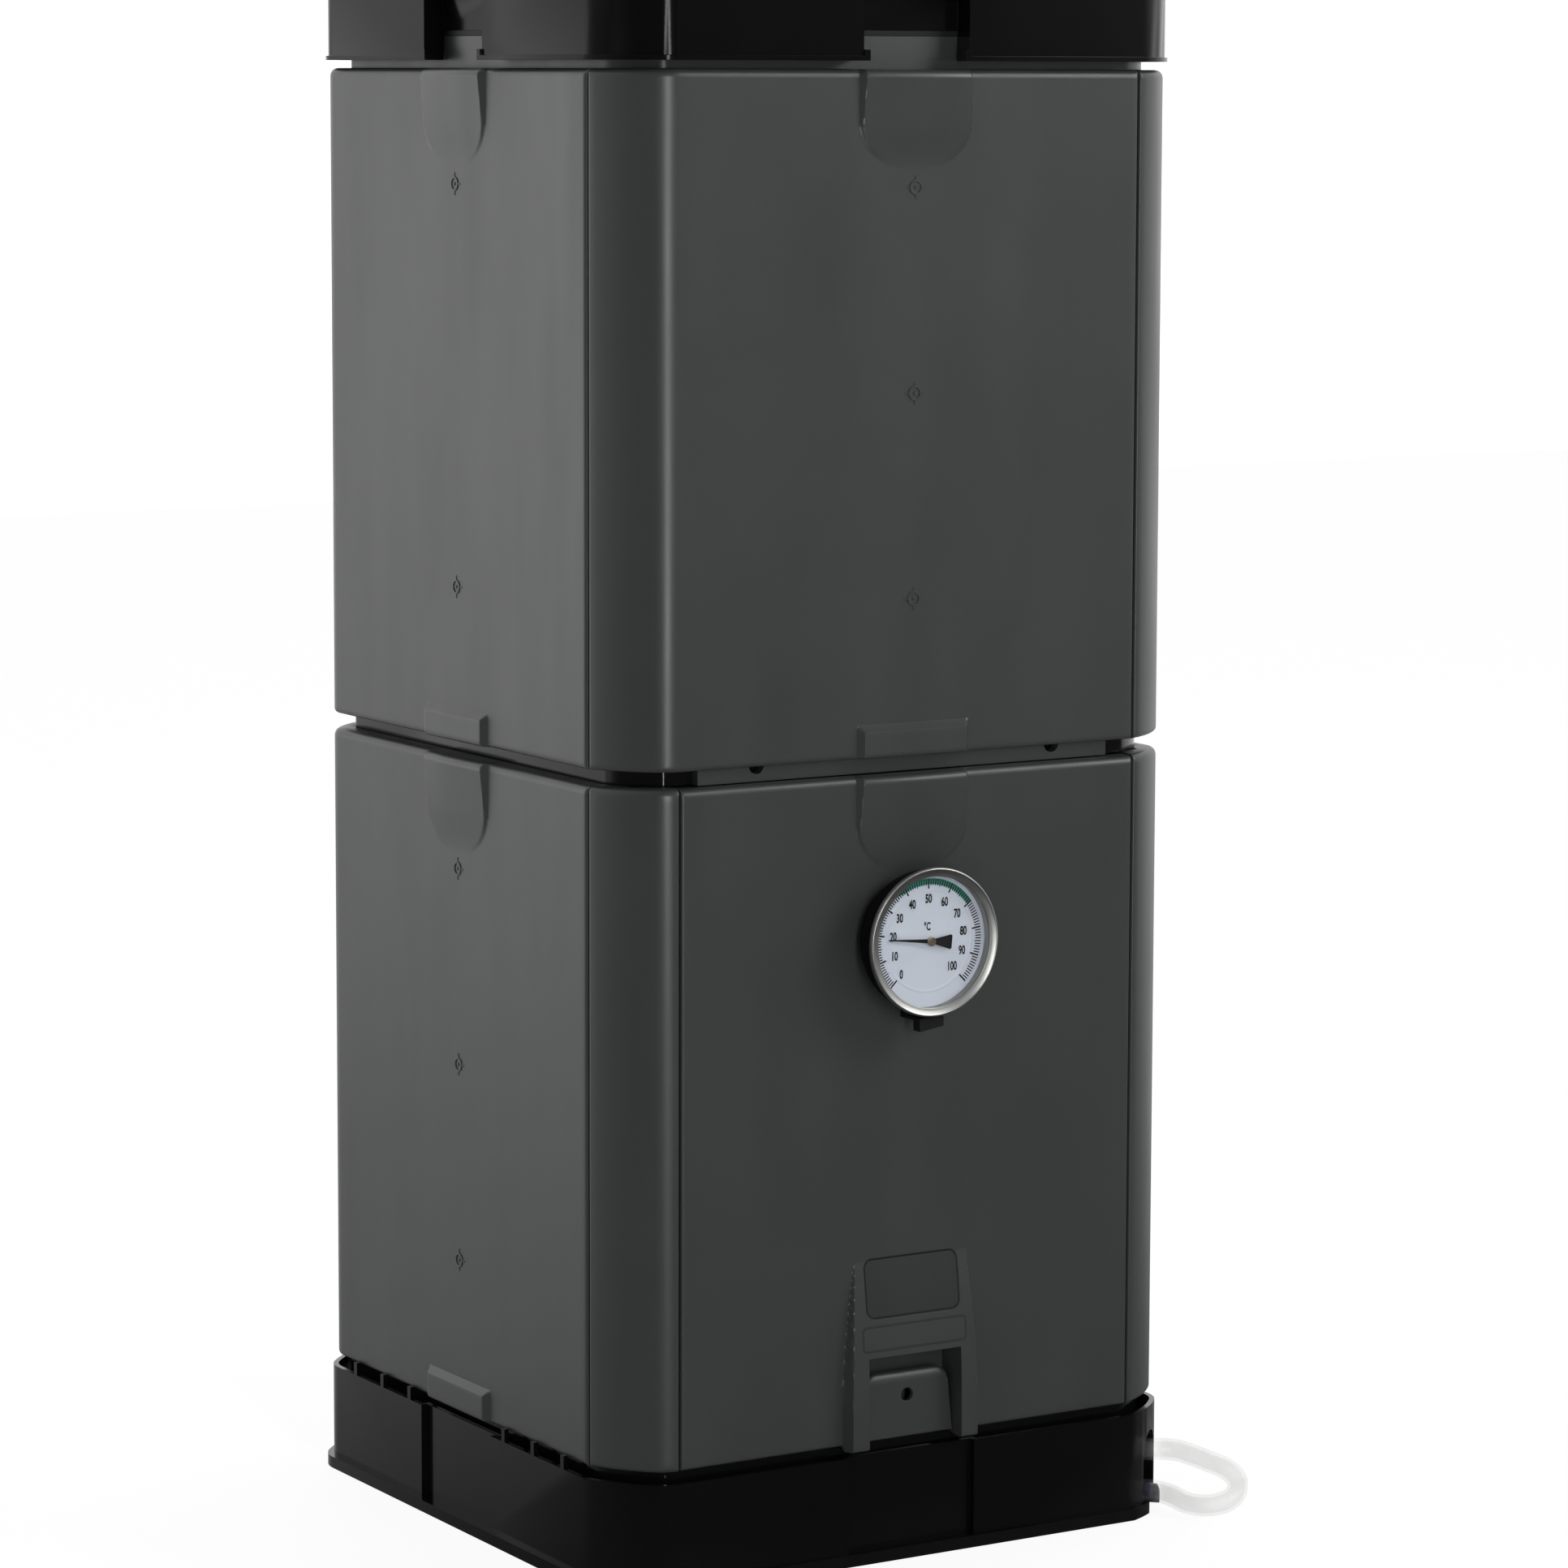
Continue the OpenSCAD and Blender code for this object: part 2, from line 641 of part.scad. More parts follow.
module post_shell() color(panel_grey) {
    difference() {
        panel_shell(panel_z, crease, panel_y, false, true);
        post_slice(post_x, half);
    }
    intersection() {
        prism(panel_z, lower_top, panel_points(0, liner_out, crease, panel_y));
        post_slice(post_x - shell_t, post_x);
    }
}

module post_foam() color(foam_white) difference() {
    panel_foam(panel_z, crease, panel_y, false, true);
    post_slice(post_x - shell_t - foam_fit, half);
}

module post_liner() panel_liner(panel_z, post_x, panel_y);
module lower_seam_keys() for (side = [1:3]) seam_key(panel_z, side);

// Rings between and above the tiers
// Opening of a ring: the square chamber with the corners that the ring needs cut off
module ring_hole(z0, z1) intersection() {
    square_prism(z0, z1, half - wall_t);
    prism(z0, z1, ring_points(ring_depth + neck_wall));
}

module tier_ring() color(gloss_black) difference() {
    prism(lower_top, upper_z, ring_points(ring_depth));
    ring_hole(lower_top - eps, upper_z + eps);
}

module door_lintel() color(panel_grey) difference() {
    box([-lintel_len / 2, -half + lintel_depth, lower_top],
        [lintel_len / 2, -half + ring_depth, upper_z]);
    for (x = [-notch_x, notch_x]) translate([x, -half, upper_z]) rotate([-90, 0, 0])
        cylinder(r = notch_r, h = ring_depth + eps);
}

module neck_ring() color(panel_grey) {
    difference() {
        prism(upper_top, neck_top, ring_points(ring_depth));
        prism(upper_top - eps, neck_top + eps, ring_points(ring_depth + neck_wall));
    }
    difference() {
        prism(upper_top, upper_top + neck_wall, ring_points(ring_depth + neck_wall / 2));
        ring_hole(upper_top - eps, neck_top);
    }
}

// Upper tier
module upper_front_shell() full_shell(upper_z, 0, true);
module upper_front_foam() full_foam(upper_z, 0, true);
module upper_front_liner() full_liner(upper_z, 0);
module upper_right_shell() full_shell(upper_z, 1, true);
module upper_right_foam() full_foam(upper_z, 1, true);
module upper_right_liner() full_liner(upper_z, 1);
module upper_back_shell() full_shell(upper_z, 2, true);
module upper_back_foam() full_foam(upper_z, 2, true);
module upper_back_liner() full_liner(upper_z, 2);
module upper_left_shell() full_shell(upper_z, 3, true);
module upper_left_foam() full_foam(upper_z, 3, true);
module upper_left_liner() full_liner(upper_z, 3);
module upper_seam_keys() for (side = [0:3]) seam_key(upper_z, side);

// Door
door_low = [post_x + door_gap, -half, panel_z + door_gap / 2];
door_high = [crease - door_gap, -half + liner_out, lower_top - door_gap / 2];
pocket_top = door_low[2] + pocket_h;

// A cylinder along Y about the axis of the dial, from y to y + len
module dial_cylinder(y, len, r) translate([0, y, gauge_z]) rotate([-90, 0, 0]) cylinder(r = r, h = len);

module door_shell() color(panel_grey) {
    difference() {
        union() {
            difference() {
                box(door_low, door_high);
                box([door_low[0] + shell_t, -half + shell_t, door_low[2] + shell_t],
                    [door_high[0] - shell_t, door_high[1] + eps, door_high[2] - shell_t]);
            }
            box([-pocket_half - shell_t, -half + shell_t / 2, door_low[2] + shell_t / 2],
                [pocket_half + shell_t, -half + pocket_depth + shell_t, pocket_top + shell_t]);
        }
        box([-pocket_half, -half - eps, door_low[2] - eps], [pocket_half, -half + pocket_depth, pocket_top]);
        dial_cylinder(-half - eps, shell_t + 2 * eps, bush_r);
    }
    intersection() {
        top_boss(lower_top);
        box([-half, -2 * half, 0], [half, 0, door_high[2]]);
    }
}

module door_foam() color(foam_white) difference() {
    in = shell_t + foam_fit;
    box([door_low[0] + in, -half + in, door_low[2] + in],
        [door_high[0] - in, door_high[1], door_high[2] - in]);
    box([-pocket_half - in, -half, door_low[2]],
        [pocket_half + in, -half + pocket_depth + in, pocket_top + in]);
    dial_cylinder(-half, wall_t, bush_r + foam_fit);
}

module door_liner() color(liner_grey) difference() {
    box([door_low[0], -half + liner_out, door_low[2]], [door_high[0], -half + liner_in, door_high[2]]);
    dial_cylinder(-half, wall_t + eps, bush_r);
}

// Raised surround of the pull pocket: its face curves back to the door, its sides draw in with it
surround_steps = 8;
// Height of the face over the door at t, the way up its curve from 0 to 1
function surround_rise(t) = max(surround_raise * (1 - t * t), boss_foot);

module handle_surround() color(panel_grey) {
    foot = door_low[2] - surround_drop;
    face = -half - surround_raise;
    bend = surround_h - surround_flat;
    steps = [for (i = [0:surround_steps]) i / surround_steps];
    difference() {
        intersection() {
            rotate([90, 0, 90]) translate([0, 0, -half]) linear_extrude(2 * half) polygon(concat(
                [[-half, foot], [face, foot]],
                [for (t = steps) [-half - surround_rise(t), foot + surround_flat + bend * t]],
                [[-half, foot + surround_h]]));
            prism(foot, foot + surround_h, [
                [-surround_half, -half], [-surround_half + surround_draft, face],
                [surround_half - surround_draft, face], [surround_half, -half]]);
            on_front(-half) linear_extrude(surround_raise) polygon(concat(
                [[-surround_half, foot], [surround_half, foot]],
                [for (t = steps) [surround_half - surround_raise * t * t, foot + surround_flat + bend * t]],
                [for (i = [surround_steps:-1:0]) let (t = i / surround_steps)
                    [-surround_half + surround_raise * t * t, foot + surround_flat + bend * t]]));
        }
        box([-pocket_half, face - eps, foot - eps], [pocket_half, -half + eps, pocket_top]);
    }
}

// Lock tongue in the pocket: a plate with round top corners on a foot, with the lock hole
module lock_tongue() color(panel_grey) {
    face = -half + tongue_depth;
    side = pocket_half - foam_fit;
    z0 = door_low[2];
    top_side = side - tongue_taper - tongue_r;
    top_z = z0 + tongue_h - tongue_r;
    difference() {
        on_front(face + tongue_t) linear_extrude(tongue_t) polygon(concat(
            [[-side, z0], [side, z0]],
            [for (a = [0:10:90]) [top_side + tongue_r * cos(a), top_z + tongue_r * sin(a)]],
            [for (a = [90:10:180]) [-top_side + tongue_r * cos(a), top_z + tongue_r * sin(a)]]));
        translate([0, face - eps, z0 + lock_z]) rotate([-90, 0, 0])
            cylinder(r = lock_r, h = tongue_t + 2 * eps);
    }
    box([-side, face + tongue_t - eps, z0], [side, -half + pocket_depth, z0 + tongue_t]);
    for (x = [-1, 1]) translate([x * (side - tongue_t / 2), 0, 0])
        box([-tongue_t / 2, face + tongue_t - eps, z0],
            [tongue_t / 2, -half + pocket_depth, z0 + tongue_t]);
}

// Thermometer
gauge_front = -half - gauge_proud;
case_front = gauge_front + bezel_lip;
case_back = case_front + case_depth;
case_r = bezel_r - bezel_ring;
case_in = case_r - case_t;
glass_y = case_front;
dial_y = glass_y + glass_t + dial_drop;
shaft_hole = shaft_r + 0.8;
post_r = 2;
post_reach = 40;
stem_tip = -half + stem_len;
// The case stands this far off its holder
case_fit = 0.3;
// Radial clearance of the glass and the dial in the case
dial_fit = 0.2;
// Radial clearance of the bezel on the case
bezel_fit = 0.05;
// Radial clearance of the stem's collar in the holder
collar_fit = 0.5;
// Gap between the bezel and the clip
clip_gap = 1;
// Thickness of the closed tip of the stem
tip_t = 2;
// Distance of the coil and of the end of the shaft from that tip
coil_end = 6;
shaft_end = 4;
// Radial clearance of the coil round the shaft
coil_fit = 0.3;

module gauge_holder() color(rubber_black) {
    back = -half;
    front = case_back + case_fit;
    difference() {
        dial_cylinder(front, back - front, holder_r);
        dial_cylinder(front + holder_t, back - front, holder_r - holder_t);
        dial_cylinder(front - eps, holder_t + 2 * eps, stem_collar_r + collar_fit);
    }
    difference() {
        dial_cylinder(front + holder_t / 2, back - front - holder_t / 2,
            stem_collar_r + collar_fit + holder_t);
        dial_cylinder(front - eps, back - front + 2 * eps, stem_collar_r + collar_fit);
    }
    clip_top = gauge_z - bezel_r - clip_gap;
    clip_front = gauge_front + bezel_depth;
    box([-clip_half, clip_front, clip_top - clip_h], [clip_half, clip_front + clip_t, clip_top]);
    box([-clip_half, clip_front, clip_top - holder_t], [clip_half, back, clip_top]);
    box([-clip_half, front + holder_t, clip_top - eps], [clip_half, back, gauge_z - holder_r + holder_t]);
}

module gauge_bush() color(rubber_black) difference() {
    dial_cylinder(-half, wall_t, bush_r - foam_fit);
    dial_cylinder(-half - eps, wall_t + 2 * eps, stem_r + stem_fit);
}

// Black steel cup with three posts that carry the dial
module gauge_case() color(gloss_black) {
    difference() {
        dial_cylinder(case_front, case_depth, case_r);
        dial_cylinder(case_front - eps, case_depth - case_t + eps, case_in);
        dial_cylinder(case_front, case_depth + eps, shaft_r + shaft_fit);
    }
    for (a = [90:120:330]) translate([post_reach * cos(a), 0, post_reach * sin(a)])
        dial_cylinder(dial_y + dial_t, case_back - dial_y - dial_t - case_t / 2, post_r);
}

module gauge_bezel() color(steel) difference() {
    dial_cylinder(gauge_front, bezel_depth, bezel_r);
    dial_cylinder(gauge_front - eps, bezel_lip + 2 * eps, bezel_open);
    dial_cylinder(case_front, bezel_depth, case_r + bezel_fit);
}

module gauge_glass() color([0.8, 0.85, 0.9, 0.3]) dial_cylinder(glass_y, glass_t, case_in - dial_fit);

module gauge_dial() color([0.92, 0.93, 0.95]) difference() {
    dial_cylinder(dial_y, dial_t, case_in - dial_fit);
    dial_cylinder(dial_y - eps, dial_t + 2 * eps, shaft_hole);
}

module gauge_stem() color(steel) difference() {
    union() {
        dial_cylinder(case_back, -half - case_back, stem_collar_r);
        dial_cylinder(-half - eps, stem_len + eps, stem_r);
    }
    dial_cylinder(case_back - eps, stem_tip - case_back - tip_t + eps, stem_r - stem_wall);
}

module bimetal_coil() color("goldenrod") difference() {
    dial_cylinder(stem_tip - coil_len - coil_end, coil_len, stem_r - stem_wall);
    dial_cylinder(stem_tip - coil_len - coil_end - eps, coil_len + 2 * eps, shaft_r + coil_fit);
}

// Height of the needle over the dial
needle_lift = 3.5;
needle_y = dial_y - needle_lift;
needle_tip = 0.6;
hub_t = 1.8;

module needle() color("black") translate([0, needle_y, gauge_z]) rotate([0, -needle_angle, 0])
    rotate([90, 0, 0]) linear_extrude(needle_t) polygon(
        [[-tail_w / 2, -tail_len], [-needle_w / 2, 0], [-needle_tip / 2, needle_len],
         [needle_tip / 2, needle_len], [needle_w / 2, 0], [tail_w / 2, -tail_len]]);

module needle_hub() color("peru") dial_cylinder(needle_y - needle_t - hub_t, hub_t, hub_r);

module needle_shaft() color("peru") dial_cylinder(needle_y, stem_tip - shaft_end - needle_y, shaft_r);

// Lid
shoulder_z = lid_top - crown_h;
lid_in = lid_t - lid_proud;
pan_z = neck_top + seal_fit + seal_h;
grip_top = lid_z + grip_h;
grip_back = grip_depth + 1;
// Width of the landing of the seal inside the neck
seal_edge = 1;

// Space of the four finger notches, grown by g, from depth 0 to depth deep
module grips(z0, z1, deep, g) each_side()
    box([-grip_half - g, -half - 10, z0], [grip_half + g, -half + deep + g, z1]);

module lid_shell() color(gloss_black) {
    difference() {
        union() {
            difference() {
                union() {
                    prism(lid_z, shoulder_z, ring_points(-lid_proud));
                    prism(lid_z, lid_z + lip_h, ring_points(-lid_proud - lip_proud));
                    prism(shoulder_z - eps, lid_top, ring_points(crown_inset));
                }
                prism(lid_z - eps, shoulder_z - lid_t, ring_points(lid_in));
                prism(shoulder_z - lid_t - eps, lid_top - lid_t, ring_points(crown_inset + lid_t));
            }
            intersection() {
                prism(lid_z, shoulder_z - eps, ring_points(-lid_proud));
                union() {
                    grips(lid_z, grip_top + lid_t, grip_depth - lid_t, lid_t);
                    grips(pan_z, grip_top + lid_t, grip_back, lid_t);
                }
            }
        }
        grips(lid_z - eps, grip_top, grip_depth, 0);
        grips(lid_z - eps, pan_z, grip_depth + lid_t + eps, 0);
    }
    each_side() for (end = [-1, 1]) translate([end * (grip_half - grip_foot / 2), 0, 0])
        box([-grip_foot / 2 - eps / 2, -half - lid_proud - lip_proud, lid_z],
            [grip_foot / 2 + eps / 2, -half + lid_in, lid_z + 2 * grip_foot]);
}

module lid_foam() color(foam_white) difference() {
    union() {
        prism(pan_z + liner_t, shoulder_z - lid_t - foam_fit, ring_points(lid_in + foam_fit));
        prism(pan_z + liner_t, lid_top - lid_t - foam_fit, ring_points(crown_inset + lid_t + foam_fit));
    }
    grips(pan_z, grip_top + lid_t + foam_fit, grip_back, lid_t + foam_fit);
}

module lid_liner() color(liner_grey) difference() {
    prism(pan_z, pan_z + liner_t, ring_points(lid_in + foam_fit));
    grips(pan_z - eps, pan_z + liner_t + eps, grip_back, lid_t + foam_fit);
}

module lid_seal() color(rubber_black) difference() {
    prism(neck_top + seal_fit, pan_z, ring_points(grip_depth + seal_fit));
    prism(neck_top, pan_z + eps, ring_points(ring_depth + neck_wall + seal_edge));
}

base_tray();
grate_bars();
grate_bearers();
core_foot();
aeration_core();
core_cap();
drain_outlet();
drain_seal();
drain_nut();
hose_holder();
drain_hose();
lower_left_shell();
lower_left_foam();
lower_left_liner();
lower_back_shell();
lower_back_foam();
lower_back_liner();
lower_right_shell();
lower_right_foam();
lower_right_liner();
post_shell();
post_foam();
post_liner();
lower_seam_keys();
tier_ring();
door_lintel();
upper_front_shell();
upper_front_foam();
upper_front_liner();
upper_right_shell();
upper_right_foam();
upper_right_liner();
upper_back_shell();
upper_back_foam();
upper_back_liner();
upper_left_shell();
upper_left_foam();
upper_left_liner();
upper_seam_keys();
neck_ring();
door_shell();
door_foam();
door_liner();
handle_surround();
lock_tongue();
gauge_holder();
gauge_bush();
gauge_case();
gauge_bezel();
gauge_glass();
gauge_dial();
gauge_stem();
bimetal_coil();
needle();
needle_hub();
needle_shaft();
lid_shell();
lid_foam();
lid_liner();
lid_seal();
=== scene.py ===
import json
import math

import bmesh
import bpy
import numpy as np
from mathutils import Matrix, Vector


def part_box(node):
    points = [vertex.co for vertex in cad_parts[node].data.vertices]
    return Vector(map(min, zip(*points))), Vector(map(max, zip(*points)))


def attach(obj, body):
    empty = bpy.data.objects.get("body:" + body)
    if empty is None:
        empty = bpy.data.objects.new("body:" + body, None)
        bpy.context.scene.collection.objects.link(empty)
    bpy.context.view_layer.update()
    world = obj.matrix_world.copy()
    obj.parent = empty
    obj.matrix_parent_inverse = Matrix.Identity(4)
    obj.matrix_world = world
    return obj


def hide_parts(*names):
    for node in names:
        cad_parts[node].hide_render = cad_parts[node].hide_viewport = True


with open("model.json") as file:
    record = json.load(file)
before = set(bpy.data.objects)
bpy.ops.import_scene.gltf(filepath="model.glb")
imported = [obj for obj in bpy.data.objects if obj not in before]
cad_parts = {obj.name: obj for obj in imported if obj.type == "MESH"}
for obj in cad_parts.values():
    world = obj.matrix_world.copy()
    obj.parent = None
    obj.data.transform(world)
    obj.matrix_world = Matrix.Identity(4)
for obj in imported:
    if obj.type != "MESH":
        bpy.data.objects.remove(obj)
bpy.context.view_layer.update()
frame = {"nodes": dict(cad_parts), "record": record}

# The looks of a two-tier insulated compost bin. Shapes are worked out in millimetres in the
# part's own frame: the door faces -Y and the bin stands on z = 0. Points become metres in
# piece(); only the hose's route and what is read from it are in metres.

bl_info = {
    "name": "Compost bin",
    "version": (1, 0, 0),
    "blender": (4, 5, 0),
    "location": "View3D > Sidebar > Compost bin",
    "description": "Builds the visible pieces of an insulated compost bin round its CAD frame",
    "category": "Object",
}

# The photograph is taken to be this many pixels square
PHOTO_SIZE = 1932


def node_box(node):
    """Lowest and highest corner of a CAD node in millimetres."""
    low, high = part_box(node)
    return np.array(low) * 1000, np.array(high) * 1000


def round_box(node):
    """Radius, front and back of a CAD node that is round about the dial's axis."""
    low, high = node_box(node)
    return (high[0] - low[0]) / 2, low[1], high[1]


# Corner of the panels: a tight round, then a soft one that ends in a crease at the next panel
POST_LOW, POST_HIGH = node_box("post_shell")
HALF = -POST_LOW[0]
CORNER_RUN = 50.0
TIGHT_R = 28.0
TIGHT_TURN = math.radians(40)
SOFT_R = 115.0
TIGHT_CENTRE = np.array([-HALF + CORNER_RUN, -HALF + TIGHT_R])
SOFT_CENTRE = TIGHT_CENTRE + (SOFT_R - TIGHT_R) * np.array([math.sin(TIGHT_TURN), math.cos(TIGHT_TURN)])
CREASE = SOFT_R * math.cos(math.asin((SOFT_CENTRE[0] + HALF) / SOFT_R)) - SOFT_CENTRE[1]

# Panels
SKIN = 3.0
TRAY_DEPTH = 27.0
SEAM_GAP = 1.5
# Radius of a panel's bottom edge, and of the door's sides and bottom
FOOT_ROUND = 3.4
DOOR_ROUND = 2.2
PANEL_RIGHT = CREASE - SEAM_GAP / 2
PANEL_SIDE_END = -CREASE - SEAM_GAP / 2
# Length of the soft round on the outer face, up to the line y = PANEL_SIDE_END
SOFT_LENGTH = SOFT_R * (math.acos((SOFT_CENTRE[1] - PANEL_SIDE_END) / SOFT_R) - TIGHT_TURN)
LOWER_Z = (POST_LOW[2], POST_HIGH[2])
UPPER_Z = tuple(box[2] for box in node_box("upper_front_liner"))
BOSS_HALF = 49.0
BOSS_STRAIGHT = 38.0
BOSS_LENGTH = 73.0
# Width of a boss's sloping side
BOSS_SIDE = 3.6
# How much a boss rises above its edges in the middle, as a share of its height
BOSS_CROWN = 0.5
# Half the width over which a panel's mesh is fine
FINE_HALF = 58.0
PAD_HEIGHT = 25.0
MARK_DROPS = (86.0, 237.0, 389.0)

# Door and its handle
DOOR_LOW, DOOR_HIGH = node_box("door_liner")
SURROUND_LOW, SURROUND_HIGH = node_box("handle_surround")
TONGUE_LOW, TONGUE_HIGH = node_box("lock_tongue")
HANDLE_FLAT = 23.0
HANDLE_SIDE = 3.5
POCKET_HALF = 41.0
POCKET_TOP = DOOR_LOW[2] + 66
POCKET_DEPTH = 18.0
HOLE_R = 5.0
HOLE_Z = DOOR_LOW[2] + 32
TONGUE_TAPER = 5.0
TONGUE_THICK = 4.0
TONGUE_ROUND = 9.0
TONGUE_BEND = 8.0
# Plates of the handle: centre, half size and corner radius
UPPER_PLATE = ((0, 208.5), (41, 22), 7)
LOWER_PLATE = ((0, 171), (45.5, 9), 3)
# How dark the upper plate is beside its outline
PLATE_TONE = 0.35

# Thermometer
GAUGE_Z = sum(corner[2] for corner in node_box("gauge_case")) / 2
# Scale, in degrees of turn clockwise from the top: where 0 stands, and one degree Celsius
SCALE_START = -135.0
SCALE_STEP = 2.7

# Drain: the outlet and the holder stand on the diagonal of the front right corner
OUTLET_Z = 14.0
HOLDER_Z = 46.0
DRAIN_OUT = np.array([1.0, -1.0, 0.0]) / math.sqrt(2)
HOSE_R = 8.5
HOSE_BORE = 6.0
COLLAR_R = 9.4
# Radius of a fitting's tip in the frame
TIP_R = 4.6
# How far out along the diagonal the hose sits tight on its fittings, in metres
GRIP_END = (node_box("drain_outlet")[1][0] - node_box("drain_outlet")[0][1]) / math.sqrt(2) * 0.001
# Route of the hose from the drain outlet to its holder, in metres
HOSE_ROUTE = [
    (0.219, -0.219, 0.014), (0.226, -0.226, 0.014), (0.232, -0.232, 0.014), (0.238, -0.2385, 0.0135),
    (0.242, -0.247, 0.0125), (0.2435, -0.256, 0.0115), (0.244, -0.2645, 0.0103),
    (0.247, -0.2725, 0.0097), (0.2525, -0.2785, 0.0095), (0.2605, -0.2815, 0.0095),
    (0.2695, -0.2815, 0.01), (0.277, -0.2805, 0.0115), (0.283, -0.279, 0.0145),
    (0.2865, -0.2775, 0.019), (0.287, -0.2755, 0.024), (0.285, -0.273, 0.0285),
    (0.281, -0.2695, 0.0325), (0.276, -0.265, 0.0355), (0.2705, -0.2595, 0.038),
    (0.2655, -0.2535, 0.0405), (0.2605, -0.248, 0.0425), (0.255, -0.2425, 0.0445),
    (0.2485, -0.238, 0.0455), (0.242, -0.235, 0.046), (0.235, -0.232, 0.046), (0.228, -0.227, 0.046),
    (0.219, -0.219, 0.046)]


class BinSettings(bpy.types.PropertyGroup):
    """Sizes and colours of the whole bin."""

    panel_colour: bpy.props.FloatVectorProperty(
        name="Panel colour", description="Colour of the grey panels", subtype="COLOR",
        size=3, min=0, max=1, default=(0.038, 0.040, 0.040))
    black_colour: bpy.props.FloatVectorProperty(
        name="Base and lid colour", description="Colour of the base and the lid", subtype="COLOR",
        size=3, min=0, max=1, default=(0.0035, 0.0035, 0.004))
    edge_round: bpy.props.FloatProperty(
        name="Top edge radius", description="Radius of the top edge of a panel, in millimetres",
        default=6.0, min=3.5, max=12.0)
    end_round: bpy.props.FloatProperty(
        name="End radius", description="Radius of the upright edges at a seam, in millimetres",
        default=3.4, min=3.1, max=6.0)
    boss_raise: bpy.props.FloatProperty(
        name="Boss height", description="Height of the raised bosses, in millimetres",
        default=5.0, min=2.0, max=5.0)
    needle_reading: bpy.props.FloatProperty(
        name="Reading", description="What the needle shows at rest, in degrees Celsius",
        default=18.7, min=0.0, max=100.0)
    key_power: bpy.props.FloatProperty(
        name="Key light", description="Power of the soft light at the front right", default=74.0,
        min=0.0, unit="POWER")
    strip_power: bpy.props.FloatProperty(
        name="Strip light", description="Power of the narrow light before the bin", default=58.0,
        min=0.0, unit="POWER")
    back_power: bpy.props.FloatProperty(
        name="Back light", description="Power of the soft light at the back left", default=12.0,
        min=0.0, unit="POWER")
    front_level: bpy.props.FloatProperty(
        name="Front level", description="Brightness of the surround before the bin", default=0.09,
        min=0.0, max=1.0, subtype="FACTOR")


# Meshes from arrays

def unit(vectors):
    """Vectors with their length made one."""
    return vectors / np.linalg.norm(vectors, axis=-1, keepdims=True)


def grid_faces(points, wrap_rows=False, wrap_columns=False, flip=False):
    """Points as a list and the quads between neighbouring rows and columns of the grid."""
    rows, columns = points.shape[:2]
    index = np.arange(rows * columns).reshape(rows, columns)
    if wrap_rows:
        index = np.vstack([index, index[:1]])
    if wrap_columns:
        index = np.hstack([index, index[:, :1]])
    quads = np.stack([index[:-1, :-1], index[:-1, 1:], index[1:, 1:], index[1:, :-1]], -1).reshape(-1, 4)
    return points.reshape(-1, 3), quads[:, ::-1] if flip else quads


def joined(*parts):
    """Several lists of points and faces as one."""
    counts = np.cumsum([0] + [len(points) for points, _ in parts])
    return (np.vstack([points for points, _ in parts]),
            np.vstack([faces + start for (_, faces), start in zip(parts, counts)]))


def given(thing, **values):
    """A thing with some of its attributes set."""
    for key, value in values.items():
        setattr(thing, key, value)
    return thing


def linked(name, data):
    """A new object for some data, put into the scene."""
    thing = bpy.data.objects.new(name, data)
    bpy.context.scene.collection.objects.link(thing)
    return thing


def smoothed(name, mesh, look, sharp):
    """A new object for a mesh, with its finish, shaded smooth up to the sharp angle."""
    mesh.shade_smooth()
    mesh.set_sharp_from_angle(angle=math.radians(sharp))
    mesh.materials.append(LOOKS[look])
    return linked(name, mesh)


def mounted(thing, body, nodes):
    """The object, now riding on its body and standing for its CAD nodes."""
    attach(thing, body)
    if nodes:
        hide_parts(*nodes)
    return thing


def piece(name, part, body, slot, nodes=(), look=None, closed=True, wall=0.0, bevel=0.0,
          sharp=35.0, lines=None):
    """One visible piece from points in millimetres: doubles merged, then smoothed, walled or
    bevelled where asked, and mounted. Its finish is the slot's unless look names another. lines
    says for each point how deep in a fine line it lies, from 0 to 1; kept as the attribute 'line',
    from which a finish can paint shade into the fine lines."""
    points, faces = part
    mesh = bpy.data.meshes.new(name)
    mesh.vertices.add(len(points))
    mesh.vertices.foreach_set("co", (np.asarray(points, float) * 0.001).ravel())
    mesh.loops.add(faces.size)
    mesh.loops.foreach_set("vertex_index", faces.ravel())
    mesh.polygons.add(len(faces))
    mesh.polygons.foreach_set("loop_start", np.arange(len(faces)) * faces.shape[1])
    mesh.update(calc_edges=True)
    # The 'line' attribute carries painted shade for fine grooves, and a part's own darker tone
    if lines is not None:
        mesh.attributes.new("line", "FLOAT", "POINT").data.foreach_set("value", lines)
    work = bmesh.new()
    work.from_mesh(mesh)
    bmesh.ops.remove_doubles(work, verts=work.verts, dist=2e-6)
    bmesh.ops.dissolve_degenerate(work, edges=work.edges, dist=1e-6)
    if closed:
        bmesh.ops.recalc_face_normals(work, faces=work.faces)
    work.to_mesh(mesh)
    work.free()
    thing = smoothed(name, mesh, look or slot, sharp)
    if wall:
        given(thing.modifiers.new("Wall", "SOLIDIFY"), thickness=wall * 0.001, offset=-1,
              use_even_offset=True)
    if bevel:
        add_bevel(thing, bevel)
    return mounted(thing, body, nodes)


def add_bevel(thing, width):
    """Rounds the sharp edges of a piece by a width in millimetres."""
    given(thing.modifiers.new("Edges", "BEVEL"), width=width * 0.001, segments=3,
          limit_method="ANGLE", angle_limit=math.radians(32), harden_normals=True)


